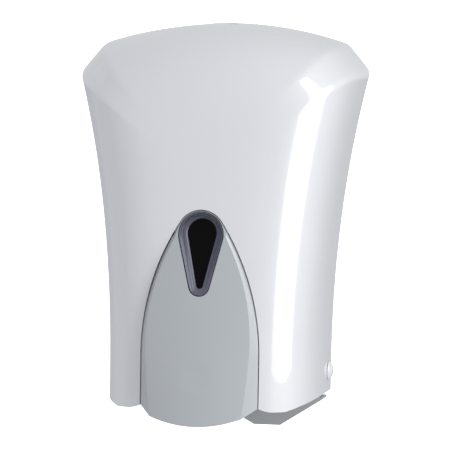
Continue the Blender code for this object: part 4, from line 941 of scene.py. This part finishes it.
# %% Soft edges on the carried-over nodes
EDGE_RADIUS = {"zinc_steel": 0.12 * MM, "nitrile_rubber": 0.05 * MM, "black_acetal": 0.3 * MM}
for name, node in frame["nodes"].items():
    if node.hide_render or name == "return_spring":
        continue
    weld = node.modifiers.new("weld", "WELD")
    weld.merge_threshold = 5e-6
    soften(node, EDGE_RADIUS.get(node_slots[name], 0.4 * MM), segments=2, angle=40)

# %% [markdown]
# ## Camera
# The dispenser is seen from a little to its right and a little above, from about three metres
# with a long lens, so its upright edges stay parallel. The camera leans by under one degree.

# %% Camera
AZIMUTH = math.radians(10.31)
ELEVATION = math.radians(4.54)
LEAN = math.radians(0.92)
DISTANCE = 3.0306
FOCAL = 383.8
back = Vector((math.sin(AZIMUTH) * math.cos(ELEVATION), -math.cos(AZIMUTH) * math.cos(ELEVATION),
               math.sin(ELEVATION)))
right = Vector((math.cos(AZIMUTH), math.sin(AZIMUTH), 0))
up = back.cross(right)
AIM_POINT = Vector((0, -56.5 * MM, 116.3 * MM))
AIM_SHIFT = 5.5 * MM
aim = AIM_POINT + right * AIM_SHIFT - up * AIM_SHIFT
camera_data = bpy.data.cameras.new("long_lens")
camera_data.lens = FOCAL
camera_data.sensor_width = 36
camera = bpy.data.objects.new("camera", camera_data)
bpy.context.scene.collection.objects.link(camera)
camera.location = aim + back * DISTANCE
look = (-back).to_track_quat("-Z", "Y").to_matrix().to_4x4()
camera.matrix_world = Matrix.Translation(camera.location) @ look @ Matrix.Rotation(LEAN, 4, "Z")
bpy.context.scene.camera = camera
print("camera at", [round(c, 3) for c in camera.location])

# %% [markdown]
# ## Studio
# A pale floor and a soft, even tent of light. A tall softbox stands close on the right and is
# seen only as a reflection: it draws the bright upright line where the cover rolls into its
# side wall. A fill beside it lights the side and isn't reflected, and a weak panel on the left
# keeps that side open. White paper hangs behind the dispenser and glows by itself, so that the
# outline stands clear.

# %% Floor, sheet and tent
def flat_sheet(name, corners, finish):
    """A stage surface from rows of points."""
    mesh_data = bmesh.new()
    add_net(mesh_data, corners)
    mesh = bpy.data.meshes.new(name)
    mesh_data.to_mesh(mesh)
    mesh_data.free()
    item = bpy.data.objects.new(name, mesh)
    item.data.materials.append(finish)
    bpy.context.scene.collection.objects.link(item)
    item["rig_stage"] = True
    return item


floor_paint = moulded("pale_floor_paint", "#d8d8da", 0.7, 12, 0.05, drift_mm=400)
sheet_paper = moulded("lit_white_paper", "#f4f4f4", 0.9, 4, 0.01, drift_mm=300)
sheet_shader = sheet_paper.node_tree.nodes["Principled BSDF"]
sheet_shader.inputs["Emission Color"].default_value = (1, 1, 1, 1)
sheet_shader.inputs["Emission Strength"].default_value = 1.1
FLOOR_Z = -0.45
FLOOR_HALF = 6.0
PAPER_Y = 2.4
PAPER_X = (-0.95, 0.05)
PAPER_Z = (-0.44, 0.28)
flat_sheet("floor", [[(x, y, FLOOR_Z) for x in (-FLOOR_HALF, FLOOR_HALF)]
                     for y in (-FLOOR_HALF, FLOOR_HALF)], floor_paint)
flat_sheet("paper", [[(x, PAPER_Y, z) for x in PAPER_X] for z in PAPER_Z], sheet_paper)

world = bpy.data.worlds.new("tent")
world.use_nodes = True
world.node_tree.nodes["Background"].inputs["Color"].default_value = linear("#f2f4f8")
world.node_tree.nodes["Background"].inputs["Strength"].default_value = 0.74
bpy.context.scene.world = world
bpy.context.scene.view_settings.view_transform = "Standard"


LIGHT_AIM_Y = -60 * MM


def softbox(name, azimuth, distance, width, foot, top, radiance):
    """An upright panel of light that faces the dispenser.

    azimuth is in degrees, 0 in front and positive to the right. Other sizes are in metres.
    """
    height = top - foot
    light = bpy.data.lights.new(name, "AREA")
    light.shape = "RECTANGLE"
    light.size = width
    light.size_y = height
    light.energy = radiance * math.pi * width * height
    item = bpy.data.objects.new(name, light)
    a = math.radians(azimuth)
    way = Vector((math.sin(a), -math.cos(a), 0))
    item.location = Vector((0, LIGHT_AIM_Y, (foot + top) / 2)) + way * distance
    item.rotation_euler = (-way).to_track_quat("-Z", "Y").to_euler()
    bpy.context.scene.collection.objects.link(item)
    return item


softbox("right_panel", 67.1, 0.421, 0.468, -0.022, 0.5, 1.9).visible_diffuse = False
softbox("side_fill", 55, 0.45, 0.3, -0.3, 0.6, 1.8).visible_glossy = False
softbox("left_panel", -95, 2.0, 1.8, -0.4, 1.5, 0.15)

# %% Finish: print the design's size and the shown size
shown_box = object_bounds()
for name, box in (("design", design_box), ("shown", shown_box)):
    print(name, "size in mm:", [round(1000 * (box[1][i] - box[0][i]), 1) for i in range(3)])
